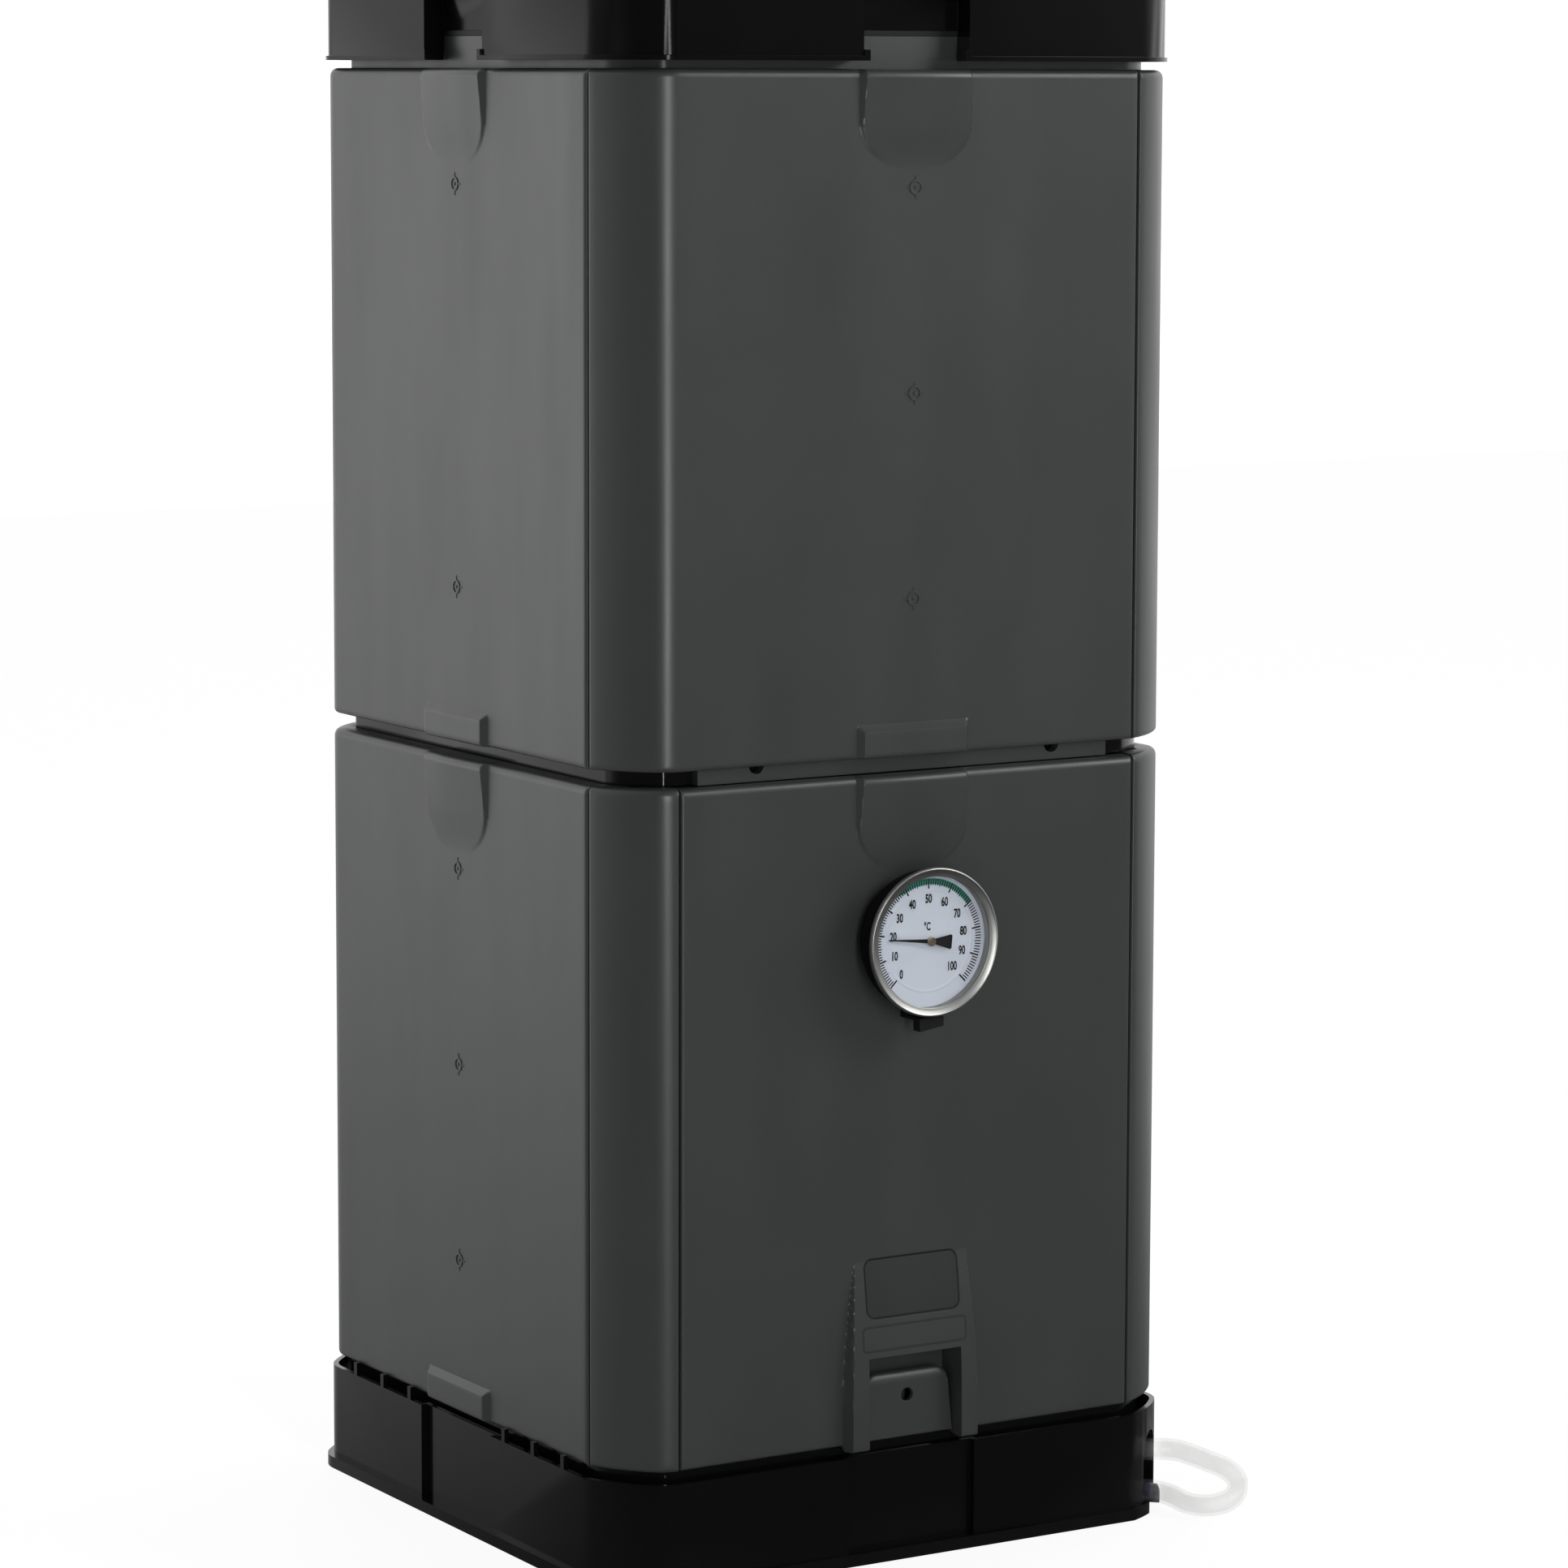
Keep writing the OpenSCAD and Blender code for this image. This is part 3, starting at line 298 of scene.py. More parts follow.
def dressed(node, body, slot, bevel, look=None):
    """A merged copy of a CAD node with its flat faces joined and its edges rounded."""
    work = bmesh.new()
    work.from_mesh(frame["nodes"][node].data)
    bmesh.ops.remove_doubles(work, verts=work.verts, dist=1e-6)
    bmesh.ops.dissolve_limit(work, angle_limit=math.radians(0.4), verts=work.verts, edges=work.edges)
    name = node + "_dressed"
    mesh = bpy.data.meshes.new(name)
    work.to_mesh(mesh)
    work.free()
    thing = smoothed(name, mesh, look or slot, 28)
    add_bevel(thing, bevel)
    return mounted(thing, body, [node])


def lathe(profile, centre, axis, steps, ring=False):
    """A profile of (radius, way along the axis) turned round a level axis through centre. A
    ring's profile is a closed loop; any other starts and ends on the axis."""
    axis = unit(axis)
    across = unit(np.cross(axis, [0, 0, 1.0]))
    other = np.cross(axis, across)
    turn = np.linspace(0, 2 * math.pi, steps, endpoint=False)
    radius, way = np.asarray(profile, float).T
    spokes = np.cos(turn)[:, None] * across + np.sin(turn)[:, None] * other
    points = centre + way[:, None, None] * axis + radius[:, None, None] * spokes
    return grid_faces(points, wrap_rows=ring, wrap_columns=True)


def rounded(profile, radius, steps):
    """A closed profile of straight lines with each corner p rounded: (1 - t)^2 start
    + 2 t (1 - t) p + t^2 end, where start and end lie a radius from p towards its neighbours."""
    points = np.asarray(profile, float)
    t = np.linspace(0, 1, steps + 1)[:, None]
    out = []
    for back, here, on in zip(np.roll(points, 1, 0), points, np.roll(points, -1, 0)):
        back_way, on_way = np.linalg.norm(back - here), np.linalg.norm(on - here)
        reach = min(radius, 0.45 * back_way, 0.45 * on_way)
        start = here + (back - here) / back_way * reach
        end = here + (on - here) / on_way * reach
        out.append((1 - t) ** 2 * start + 2 * t * (1 - t) * here + t ** 2 * end)
    return np.vstack(out)


def block(low, high):
    """A box between two corners, as points and quads that face outwards."""
    corner = np.array([[x, y, z] for z in (0, 1) for y in (0, 1) for x in (0, 1)], float)
    quads = np.array([[0, 2, 3, 1], [4, 5, 7, 6], [0, 1, 5, 4], [2, 6, 7, 3], [0, 4, 6, 2],
                      [1, 3, 7, 5]])
    return low + corner * np.subtract(high, low), quads


def turned(part, quarter):
    """A part turned by quarter turns about the axis of the bin."""
    points, faces = part
    c, s = [(1, 0), (0, 1), (-1, 0), (0, -1)][quarter]
    spin = np.array([[c, -s, 0], [s, c, 0], [0, 0, 1]], float)
    return points @ spin.T, faces


# Panels

def corner_plan(right_end, s, depth):
    """Plan of a panel with its corner. s runs along its face from the right end, depth inwards.
    Flat: x falls with s. Tight round: centre plus radius times the direction that turns with s.
    Soft round: the same, with its last turn such that it ends on the line y = PANEL_SIDE_END."""
    flat = right_end - TIGHT_CENTRE[0]
    tight = flat + TIGHT_R * TIGHT_TURN
    turn_tight = np.clip((s - flat) / TIGHT_R, 0, TIGHT_TURN)
    last = np.arccos((SOFT_CENTRE[1] - PANEL_SIDE_END) / (SOFT_R - depth))
    turn_soft = TIGHT_TURN + np.clip((s - tight) / SOFT_LENGTH, 0, 1) * (last - TIGHT_TURN)
    x, y = right_end - s, -HALF + depth
    for begin, centre, radius, turn in ((flat, TIGHT_CENTRE, TIGHT_R, turn_tight),
                                        (tight, SOFT_CENTRE, SOFT_R, turn_soft)):
        x = np.where(s <= begin, x, centre[0] - (radius - depth) * np.sin(turn))
        y = np.where(s <= begin, y, centre[1] - (radius - depth) * np.cos(turn))
    return x, y


def flat_plan(right_end, s, depth):
    """Plan of a flat panel such as the door."""
    return right_end - s, -HALF + depth


def edge_line(length, middle, start_round, end_round):
    """Places along one way of a tray and the depth of each: in along the end wall, round the edge,
    along the face, round the other edge and in again. The rounds are quarter circles."""
    a = np.linspace(0, math.pi / 2, 5)
    start = np.stack([start_round * (1 - np.cos(a)), start_round * (1 - np.sin(a))], -1)
    end = np.stack([length - end_round * (1 - np.cos(a)), end_round * (1 - np.sin(a))], -1)[::-1]
    face = np.stack([middle, np.zeros(len(middle))], -1)
    line = np.vstack([[0, TRAY_DEPTH], start, face, end, [length, TRAY_DEPTH]])
    return line[:, 0], line[:, 1]


def tray(plan, columns, rows, low, relief, right_end):
    """A panel as an open tray. Depth is the larger of the two edge depths, less the relief, which
    fades out along the walls that run inwards."""
    (s, s_depth), (z, z_depth) = columns, rows
    place, height = np.meshgrid(s, z + low)
    in_s, in_z = np.meshgrid(s_depth, z_depth)
    fade = (1 - in_s / TRAY_DEPTH) * (1 - in_z / TRAY_DEPTH)
    lift = relief(right_end - place, height) * fade
    x, y = plan(right_end, place, np.maximum(in_s, in_z) - lift)
    return grid_faces(np.stack([x, y, height], -1), flip=True)


def top_boss(x, z, top, raise_by):
    """Wedge under a top edge: it thins evenly downwards and fades out over its elliptic foot, its
    sides slope by their distance from the outline, and its face is crowned by a parabola."""
    below = top - z
    along = np.clip((below - BOSS_STRAIGHT) / (BOSS_LENGTH - BOSS_STRAIGHT), 0, 1)
    half_width = BOSS_HALF * np.sqrt(1 - along ** 2)
    height = raise_by * (1 - 0.96 * np.clip(below / BOSS_LENGTH, 0, 1)) * (1 - along ** 2)
    crown = 1 + BOSS_CROWN * np.clip(1 - (x / BOSS_HALF) ** 2, 0, 1)
    edge = np.clip((half_width - abs(x)) / (0.8 + 2 * along), 0, height)
    return np.where(below < BOSS_LENGTH, edge * crown, 0)


def bottom_pad(x, z, bottom, raise_by):
    """Pad above a bottom edge, falling at its sides and its top by the distance to the outline."""
    side = (BOSS_HALF - abs(x)) / 0.9
    up = bottom + PAD_HEIGHT - z
    return np.clip(np.minimum(side, up), 0, raise_by)


def sink(x, z, centre, size, depth):
    """A soft dimple: a bell curve of the distance from its centre."""
    return -depth * np.exp(-((x - centre[0]) / size[0]) ** 2 - ((z - centre[1]) / size[1]) ** 2)


def gate_marks(drops, top):
    """Moulding marks down the middle of a face: a ring, four ticks and a dot, each raised."""
    parts = []
    for drop in drops:
        centre = (0, -HALF, top - drop)
        ring = [(4.2, -0.4), (4.2, 0.8), (5.4, 0.8), (5.4, -0.4)]
        dot = [(0, 0.8), (1.0, 0.7), (1.5, 0), (1.2, -0.4), (0, -0.4)]
        parts.append(lathe(rounded(ring, 0.15, 2), centre, (0, -1, 0), 40, ring=True))
        parts.append(lathe(dot, centre, (0, -1, 0), 16))
        for dx, dz in ((1, 0), (-1, 0), (0, 1), (0, -1)):
            ends = np.sort(np.outer([5.0, 8.2], [dx, 0, dz]), axis=0) + centre
            parts.append(block(*(ends + [[-0.4, -0.5, -0.4], [0.4, 0.4, 0.4]])))
    return joined(*parts)


def panel_columns(settings):
    """Places along a panel with its corner, close together over the bosses and in the rounds."""
    flat = PANEL_RIGHT - TIGHT_CENTRE[0]
    tight = flat + TIGHT_R * TIGHT_TURN
    total = tight + SOFT_LENGTH
    edges = np.array([BOSS_HALF, BOSS_HALF - BOSS_SIDE, BOSS_SIDE - BOSS_HALF, -BOSS_HALF])
    middle = np.concatenate([
        np.linspace(8, PANEL_RIGHT - FINE_HALF - 4, 14),
        PANEL_RIGHT - np.linspace(FINE_HALF, -FINE_HALF, 80), PANEL_RIGHT - edges,
        np.linspace(PANEL_RIGHT + FINE_HALF + 4, flat, 14),
        np.linspace(flat, tight, 13)[1:], np.linspace(tight, total - settings.end_round, 10)[1:-1]])
    return edge_line(total, np.unique(middle), settings.end_round, settings.end_round)


def boss_rows(height, settings):
    """Places up a panel over the boss under its top edge."""
    return np.linspace(height - BOSS_LENGTH - 4, height - settings.edge_round - 0.8, 44)


def tier_rows(height, settings):
    """Places up a panel, close together over its boss and its pad."""
    middle = np.concatenate([
        np.linspace(5, PAD_HEIGHT + 4, 20), np.linspace(PAD_HEIGHT + 8, height - BOSS_LENGTH - 8, 24),
        boss_rows(height, settings)])
    return edge_line(height, np.unique(middle), FOOT_ROUND, settings.edge_round)


def make_panels(settings):
    """The seven full panels: one tray, turned by quarter turns, with a boss, a pad, three faint
    dimples and marks."""
    sides = {"front": 0, "right": 1, "back": 2, "left": 3}
    columns = panel_columns(settings)
    for tier, (low, high), names in (("upper", UPPER_Z, sides), ("lower", LOWER_Z, list(sides)[1:])):

        def relief(x, z, low=low, high=high):
            return (top_boss(x, z, high, settings.boss_raise) + bottom_pad(x, z, low, settings.boss_raise)
                    + sink(x, z, (-188, high - 262), (3, 7), 0.5)
                    + sink(x, z, (183, high - 250), (4, 8), 0.5)
                    + sink(x, z, (-150, low + 16), (3, 10), 0.35))

        shell = tray(corner_plan, columns, tier_rows(high - low, settings), low, relief, PANEL_RIGHT)
        for name in names:
            middle_mark = () if name == "left" and tier == "upper" else MARK_DROPS[1:2]
            marks = gate_marks(MARK_DROPS[:1] + middle_mark + MARK_DROPS[2:], high)
            piece(f"{tier}_{name}_panel", turned(shell, sides[name]), "bin", "panel_plastic",
                  [f"{tier}_{name}_shell"], closed=False, wall=SKIN)
            piece(f"{tier}_{name}_marks", turned(marks, sides[name]), "bin", "panel_plastic")


def make_post(settings):
    """The corner post left of the door: the corner of a panel, cut where its face begins."""
    low, high = LOWER_Z
    tight = TIGHT_R * TIGHT_TURN
    total = tight + SOFT_LENGTH
    middle = np.concatenate([np.linspace(0, tight, 16)[4:],
                             np.linspace(tight, total - settings.end_round, 10)[1:-1]])
    columns = edge_line(total, middle, 2.0, settings.end_round)
    rows = edge_line(high - low, np.linspace(8, high - low - 10, 12), FOOT_ROUND, settings.edge_round)
    shell = tray(corner_plan, columns, rows, low, lambda x, z: 0 * x, POST_HIGH[0])
    piece("corner_post", shell, "bin", "panel_plastic", ["post_shell"], closed=False, wall=1.9)


# Door

def box_distance(x, z, centre, half, radius):
    """Distance outside the outline of a rectangle with round corners, negative inside."""
    dx = abs(x - centre[0]) - half[0] + radius
    dz = abs(z - centre[1]) - half[1] + radius
    return np.hypot(np.maximum(dx, 0), np.maximum(dz, 0)) + np.minimum(np.maximum(dx, dz), 0) - radius


def handle_relief(x, z):
    """Handle of the door. Its height is its full rise times one less the square of the way up its
    curve, its half width loses as much as its height, and its sides slope. Two plates are sunk in
    it, and the pull pocket goes through it into the door."""
    rise = -HALF - SURROUND_LOW[1]
    start = SURROUND_LOW[2] + HANDLE_FLAT
    up = np.clip((z - start) / (SURROUND_HIGH[2] - start), 0, 1) ** 2
    side = (SURROUND_HIGH[0] - rise * up - abs(x)) * rise / HANDLE_SIDE
    lift = np.where(z < SURROUND_HIGH[2], np.clip(side, 0, rise * (1 - up)), 0)
    lift = lift - 0.25 * upper_plate(x, z) - 0.2 * handle_lines(x, z)
    in_pocket = (abs(x) < POCKET_HALF) & (z < POCKET_TOP)
    return np.where(in_pocket, -POCKET_DEPTH, lift)


def upper_plate(x, z):
    """One on the handle's upper plate and nothing off it."""
    return np.clip(0.5 - 1.2 * box_distance(x, z, *UPPER_PLATE), 0, 1)


def handle_lines(x, z):
    """Fine lines round the two plates of the handle, by the distance to each outline; the lower
    plate's is half as deep."""
    upper, lower = (np.clip(1.5 - 1.4 * abs(box_distance(x, z, *plate)), 0, 1)
                    for plate in (UPPER_PLATE, LOWER_PLATE))
    return np.maximum(upper, 0.5 * lower)


def make_door(settings):
    """The door's shell with its boss, handle and pull pocket, pressed from one sheet."""
    low, high = DOOR_LOW[2], DOOR_HIGH[2]
    left, right = DOOR_LOW[0], DOOR_HIGH[0]
    pocket, handle = POCKET_TOP - low, SURROUND_HIGH[2] - low
    handle_half = SURROUND_HIGH[0]

    def relief(x, z):
        return top_boss(x, z, high, settings.boss_raise) + handle_relief(x, z)

    edges = np.array([BOSS_HALF, BOSS_HALF - BOSS_SIDE, POCKET_HALF - 0.05, POCKET_HALF + 0.05,
                      handle_half - HANDLE_SIDE])
    x_places = np.concatenate([
        np.linspace(left + 6, -handle_half - 3, 12), np.linspace(handle_half + 3, right - 6, 12),
        np.linspace(-handle_half, handle_half, 150), edges, -edges])
    columns = edge_line(right - left, np.unique(np.round(right - x_places, 3)), DOOR_ROUND, DOOR_ROUND)
    z_places = np.concatenate([
        np.linspace(5, pocket - 2, 26), [pocket - 0.05, pocket + 0.05],
        np.linspace(pocket + 1.5, handle + 8, 104),
        np.linspace(handle + 16, high - low - BOSS_LENGTH - 8, 14), boss_rows(high - low, settings)])
    rows = edge_line(high - low, np.unique(z_places), DOOR_ROUND, settings.edge_round)
    points, faces = tray(flat_plan, columns, rows, low, relief, right)
    # The feet of the surround hang below the door, in front of the base
    foot = (abs(points[:, 0]) < handle_half) & (points[:, 1] < -HALF - 0.5) & (points[:, 2] < low + 6)
    points[foot, 2] -= low - SURROUND_LOW[2]
    x, z = points[:, 0], points[:, 2]
    # The lines paint shade into the grooves round the handle's plates; the upper plate adds its own darker
    # tone
    piece("door_panel", (points, faces), "door", "panel_plastic",
          ["door_shell", "handle_surround"], "door", closed=False, wall=1.6,
          lines=np.maximum(handle_lines(x, z), PLATE_TONE * upper_plate(x, z)))
    make_tongue()


def tongue_reach(angle, half, down, up):
    """Distance from the lock hole to the outline of the tongue: to the sides first, which draw in
    evenly towards the top, and to the round top corners where the way leads through them."""
    c, s = np.cos(angle), np.sin(angle)
    slope = TONGUE_TAPER / (up + down)
    side = half - slope * down
    with np.errstate(divide="ignore"):
        across = np.where(abs(c) + slope * s > 0.05, side / (abs(c) + slope * s), np.inf)
        reach = np.minimum(across, np.where(s > 0, up / abs(s), down / abs(s)))
    half = half - TONGUE_TAPER
    x, z = abs(c * reach), s * reach
    cx, cz = half - TONGUE_ROUND, up - TONGUE_ROUND
    along = abs(c) * cx + s * cz
    out = along + np.sqrt(np.maximum(along ** 2 - cx ** 2 - cz ** 2 + TONGUE_ROUND ** 2, 0))
    return np.where((x > cx) & (z > cz), out, reach)


def make_tongue():
    """Lock tongue: a plate with its hole, as a closed ring of loops. Above a line it bends back by
    bend - root(bend squared - 0.65 times the height over the line squared)."""
    half, face = TONGUE_HIGH[0], TONGUE_LOW[1]
    down, up = HOLE_Z - TONGUE_LOW[2], TONGUE_HIGH[2] - HOLE_Z
    top, shoulder = half - TONGUE_TAPER, up - TONGUE_ROUND
    corners = np.arctan2([shoulder, up, up, shoulder, -down, -down],
                         [top, top - TONGUE_ROUND, TONGUE_ROUND - top, -top, -half, half])
    angle = np.unique(np.concatenate([np.linspace(-math.pi, math.pi, 144, endpoint=False), corners]))
    outer = tongue_reach(angle, half, down, up)
    steps = np.linspace(0, 1, 14)[:, None]
    front = HOLE_R + 0.6 + steps * (outer - 0.7 - HOLE_R - 0.6)
    back = outer + (HOLE_R - outer) * steps
    reach = np.vstack([front, outer[None], back, np.full((1, len(angle)), HOLE_R)])
    level = np.concatenate([np.zeros(14), [0.7], np.full(14, TONGUE_THICK), [0.6]])[:, None] + 0 * reach
    height = reach * np.sin(angle)
    over = np.clip(height - (up - TONGUE_BEND), 0, TONGUE_BEND)
    level = level + TONGUE_BEND - np.sqrt(TONGUE_BEND ** 2 - 0.65 * over ** 2)
    points = np.stack([reach * np.cos(angle), face + level, HOLE_Z + height], -1)
    plate = grid_faces(points, wrap_rows=True, wrap_columns=True)
    foot = block([-half, face + TONGUE_THICK - 0.5, TONGUE_LOW[2]],
                 [half, TONGUE_HIGH[1], TONGUE_LOW[2] + 4])
    piece("lock_tongue_plate", joined(plate, foot), "door", "panel_plastic", ["lock_tongue"], sharp=40)


# Thermometer

def dial_lathe(profile, steps=128, ring=False):
    """A profile of (radius, y) turned about the axis of the dial."""
    return lathe(profile, (0, 0, GAUGE_Z), (0, 1, 0), steps, ring)


def dial_ring(profile, radius, steps=128):
    """A closed profile with rounded corners turned about the axis of the dial."""
    return dial_lathe(rounded(profile, radius, 3), steps, True)


def strips(radius_in, radius_out, angle, width, y):
    """Flat marks of a scale: one quad for each angle, clockwise from the top of the dial."""
    turn, none = np.radians(angle), np.zeros(len(angle))
    way = np.stack([np.sin(turn), none, np.cos(turn)], -1)
    side = np.stack([np.cos(turn), none, -np.sin(turn)], -1) * np.reshape(width, (-1, 1)) / 2
    inner, outer = (way * np.reshape(radius, (-1, 1)) for radius in (radius_in, radius_out))
    corners = np.stack([inner - side, inner + side, outer + side, outer - side], 1)
    points = corners.reshape(-1, 3) + [0, y, GAUGE_Z]
    return points, np.arange(len(points)).reshape(-1, 4)


def dial_points(x, z, y):
    """Points at one level y from places on the dial, x across and z up from its axis."""
    return np.stack([x, np.full(len(x), y), GAUGE_Z + z], -1)


def printed(text, centre, size, y):
    """Figures of the dial as flat triangles."""
    thing = linked("figures", given(
        bpy.data.curves.new("figures", "FONT"), body=text, size=size, align_x="CENTER",
        align_y="CENTER", resolution_u=4, offset=0.03 * size))
    mesh = thing.evaluated_get(bpy.context.evaluated_depsgraph_get()).to_mesh()
    mesh.calc_loop_triangles()
    flat = np.zeros(len(mesh.vertices) * 3)
    mesh.vertices.foreach_get("co", flat)
    flat = flat.reshape(-1, 3)
    triangles = np.zeros(len(mesh.loop_triangles) * 3, int)
    mesh.loop_triangles.foreach_get("vertices", triangles)
    bpy.data.objects.remove(thing)
    narrow = 0.64
    points = dial_points(centre[0] + narrow * flat[:, 0], centre[1] + flat[:, 1], y)
    return points, triangles.reshape(-1, 3)


def make_thermometer(settings):
    """Bezel, case, glass and dial of the thermometer, its black holder, and the needle."""
    r, front, back = round_box("gauge_bezel")
    clip_top = GAUGE_Z - r - 1
    bezel = [(49.2, front + 2.4), (49.3, front + 1.9), (51.0, front + 1.6), (53.6, front + 0.7),
             (54.6, front), (r - 0.5, front + 0.5), (r, front + 1.4), (r, back - 1), (r - 1, back),
             (52.1, back), (52.1, front + 2.6)]
    piece("bezel_ring", dial_ring(bezel, 0.7, 160), "gauge", "steel", ["gauge_bezel"], sharp=50)
    r, front, back = round_box("gauge_case")
    cup = [(2.0, back - 1.5), (r - 2.2, back - 1.5), (r - 1.5, back - 2.2), (r - 1.5, front + 0.25),
           (r, front + 0.25), (r, back - 1.8), (r - 1.8, back), (2.0, back)]
    piece("case_cup", dial_ring(cup, 0.6), "gauge", "black_steel", ["gauge_case"], sharp=50)
    # The sleeve lines the case between glass and dial
    near, far = round_box("gauge_glass")[2] + 0.1, round_box("gauge_dial")[1] - 0.5
    sleeve = [(49.6, near), (49.6, far), (50.2, far), (50.2, near)]
    piece("case_sleeve", dial_lathe(sleeve, 128, True), "gauge", "steel", look="sleeve", sharp=50)
    front = back + 0.3
    r, clip_front, back = round_box("gauge_holder")
    holder = [(10, front), (r - 1, front), (r, front + 1), (r, back), (r - 3, back), (r - 3, front + 3),
              (12.5, front + 3), (12.5, back), (10, back)]
    foot = node_box("gauge_holder")[0][2]
    clip_half, clip_thick, slant = 10.6, 9.0, 0.14
    clip = block([-clip_half, clip_front, foot], [clip_half, clip_front + clip_thick, clip_top])
    clip[0][:4, 2] += slant * (clip[0][:4, 0] + clip_half)
    arm = block([-10, clip_front + 0.5, clip_top - 2.6], [10, back, clip_top - 0.2])
    web = block([-10, front + 2.6, clip_top - 1], [10, back, GAUGE_Z - r + 2])
    piece("holder_ring", joined(dial_ring(holder, 0.8, 96), clip, arm, web), "door", "black_rubber",
          ["gauge_holder"], bevel=0.8)
    r, front, back = round_box("gauge_glass")
    front += 0.02
    glass = [(0, front), (30, front), (r - 0.3, front), (r, front + 0.3), (r, back - 0.3),
             (r - 0.3, back), (30, back), (0, back)]
    piece("dial_glass", dial_lathe(glass), "gauge", "gauge_glass", ["gauge_glass"], sharp=20)
    make_dial()
    make_needle(settings)


def make_dial():
    """The dial: a thin disc with a pressed ring, a plain scale of 0 to 100, and its figures."""
    r, front, back = round_box("gauge_dial")
    disc = [(0, front), (20, front), (36.6, front), (37.4, front - 0.2), (38.4, front - 0.2),
            (39.2, front), (45, front), (r - 0.2, front), (r, front + 0.2), (r, back), (30, back), (0, back)]
    piece("dial_face", dial_lathe(disc), "gauge", "dial_white", ["gauge_dial"], sharp=8)
    ink = front - 0.32
    degree = np.arange(0, 101)
    ten, five = degree % 10 == 0, degree % 5 == 0
    inner, outer = np.where(ten, 39.0, np.where(five, 41.0, 41.6)), 46.6
    width = np.where(ten, 1.2, 0.85)
    ticks, quads = strips(inner, outer, SCALE_START + SCALE_STEP * degree, width, ink)
    figures = [(ticks, np.vstack([quads[:, [0, 1, 2]], quads[:, [0, 2, 3]]]))]
    for value in range(0, 101, 10):
        turn = math.radians(SCALE_START + SCALE_STEP * value)
        reach = {0: 33.5, 100: 29.6}.get(value, 31.3)
        figures.append(printed(str(value), (reach * math.sin(turn), reach * math.cos(turn)), 9.2, ink))
    figures.append(printed("°C", (-1.0, 10.5), 8.4, ink))
    piece("dial_figures", joined(*figures), "gauge", "needle_black", closed=False)
    # The green band runs from 10 to 70 and widens inwards after 36
    degree = np.linspace(10, 70, 121)
    band = np.radians(SCALE_START + SCALE_STEP * degree)
    inner, outer = 44.2 - 1.9 * np.clip((degree - 36) / 3, 0, 1), 46.7
    points = np.stack([dial_points(r * np.sin(band), r * np.cos(band), ink + 0.05) for r in (inner, outer)])
    piece("dial_band", grid_faces(points), "gauge", "dial_white", look="green", closed=False)


def make_needle(settings):
    """The needle with its fan-shaped tail, and its turned hub with a dimple."""
    back = node_box("needle")[1][1]
    outline = np.array([[-5.5, -17.5], [-4.6, -18.6], [4.6, -18.6], [5.5, -17.5], [1.6, -2], [1.5, 2],
                        [0.35, 36.5], [0, 38], [-0.35, 36.5], [-1.5, 2], [-1.6, -2]])
    turn = math.radians(SCALE_START + SCALE_STEP * settings.needle_reading)
    spin = np.array([[math.cos(turn), math.sin(turn)], [-math.sin(turn), math.cos(turn)]])
    x, z = (outline @ spin.T).T
    front = back - 0.6
    points = np.stack([dial_points(k * x, k * z, y)
                       for k, y in ((0, front), (1, front), (1, back), (0, back))])
    piece("needle_blade", grid_faces(points, wrap_columns=True), "pointer", "needle_black", ["needle"])
    _, front, back = round_box("needle_hub")
    hub = [(0, front + 0.4), (0.9, front + 0.4), (1.0, front), (2.8, front), (3.5, front + 0.5),
           (3.5, back), (0, back)]
    piece("hub_cap", dial_lathe(hub, 48), "pointer", "brass", ["needle_hub"])


# Drain

def smooth_line(points, per_span):
    """A curve through every point: the cubic whose slope at a point is half the way between its
    neighbours."""
    p = np.asarray(points, float)
    p = np.vstack([2 * p[0] - p[1], p, 2 * p[-1] - p[-2]])
    t = np.linspace(0, 1, per_span, endpoint=False)[None, :, None]
    a, b, c, d = (p[i:len(p) - 3 + i, None] for i in range(4))
    curve = 0.5 * (2 * b + (c - a) * t + (2 * a - 5 * b + 4 * c - d) * t ** 2
                   + (3 * b - a - 3 * c + d) * t ** 3)
    return np.vstack([curve.reshape(-1, 3), p[-2:-1]])


def make_hose():
    """The clear hose: a tube with its bore, whose rings stand square to the route and keep their
    first side level, a little oval where it bends most."""
    line = smooth_line(HOSE_ROUTE, 5) * 1000
    way = unit(np.gradient(line, axis=0))
    side = unit(np.cross([0, 0, 1.0], way))
    up = np.cross(way, side)
    turn = np.linspace(0, 2 * math.pi, 32, endpoint=False)
    bend = np.linalg.norm(np.gradient(way, axis=0), axis=1)
    flat = 1 - 0.10 * np.clip(bend / bend.max(), 0, 1) ** 2
    oval = (np.cos(turn)[None, :, None] * (side * flat[:, None])[:, None]
            + np.sin(turn)[None, :, None] * up[:, None])
    outside, bore = (line[:, None] + radius * oval for radius in (HOSE_R, HOSE_BORE))
    tube = grid_faces(np.vstack([outside, bore[::-1]]), wrap_rows=True, wrap_columns=True)
    hose = piece("clear_hose", tube, "bin", "clear_hose", ["drain_hose"], sharp=60)


def barbed(start, length, z):
    """A barbed spigot along the diagonal: collar, then three barbs that face back to it."""
    collar, root, barb = 3.0, 5.6, 6.7
    pitch = (length - collar) / 4
    profile = [(0, 0), (COLLAR_R, 0), (COLLAR_R, collar), (root, collar)]
    for i in (1, 2, 3):
        foot = collar + i * pitch - 0.4 * pitch
        profile += [(root, foot - 0.2), (barb, foot), (barb + 0.05, foot + 0.6), (root, foot + 0.8 * pitch)]
    profile += [(5.5, length - 1), (4.4, length), (3.9, length), (3.8, length - 6), (0, length - 6)]
    return lathe(profile, DRAIN_OUT * start + [0, 0, z], DRAIN_OUT, 48)


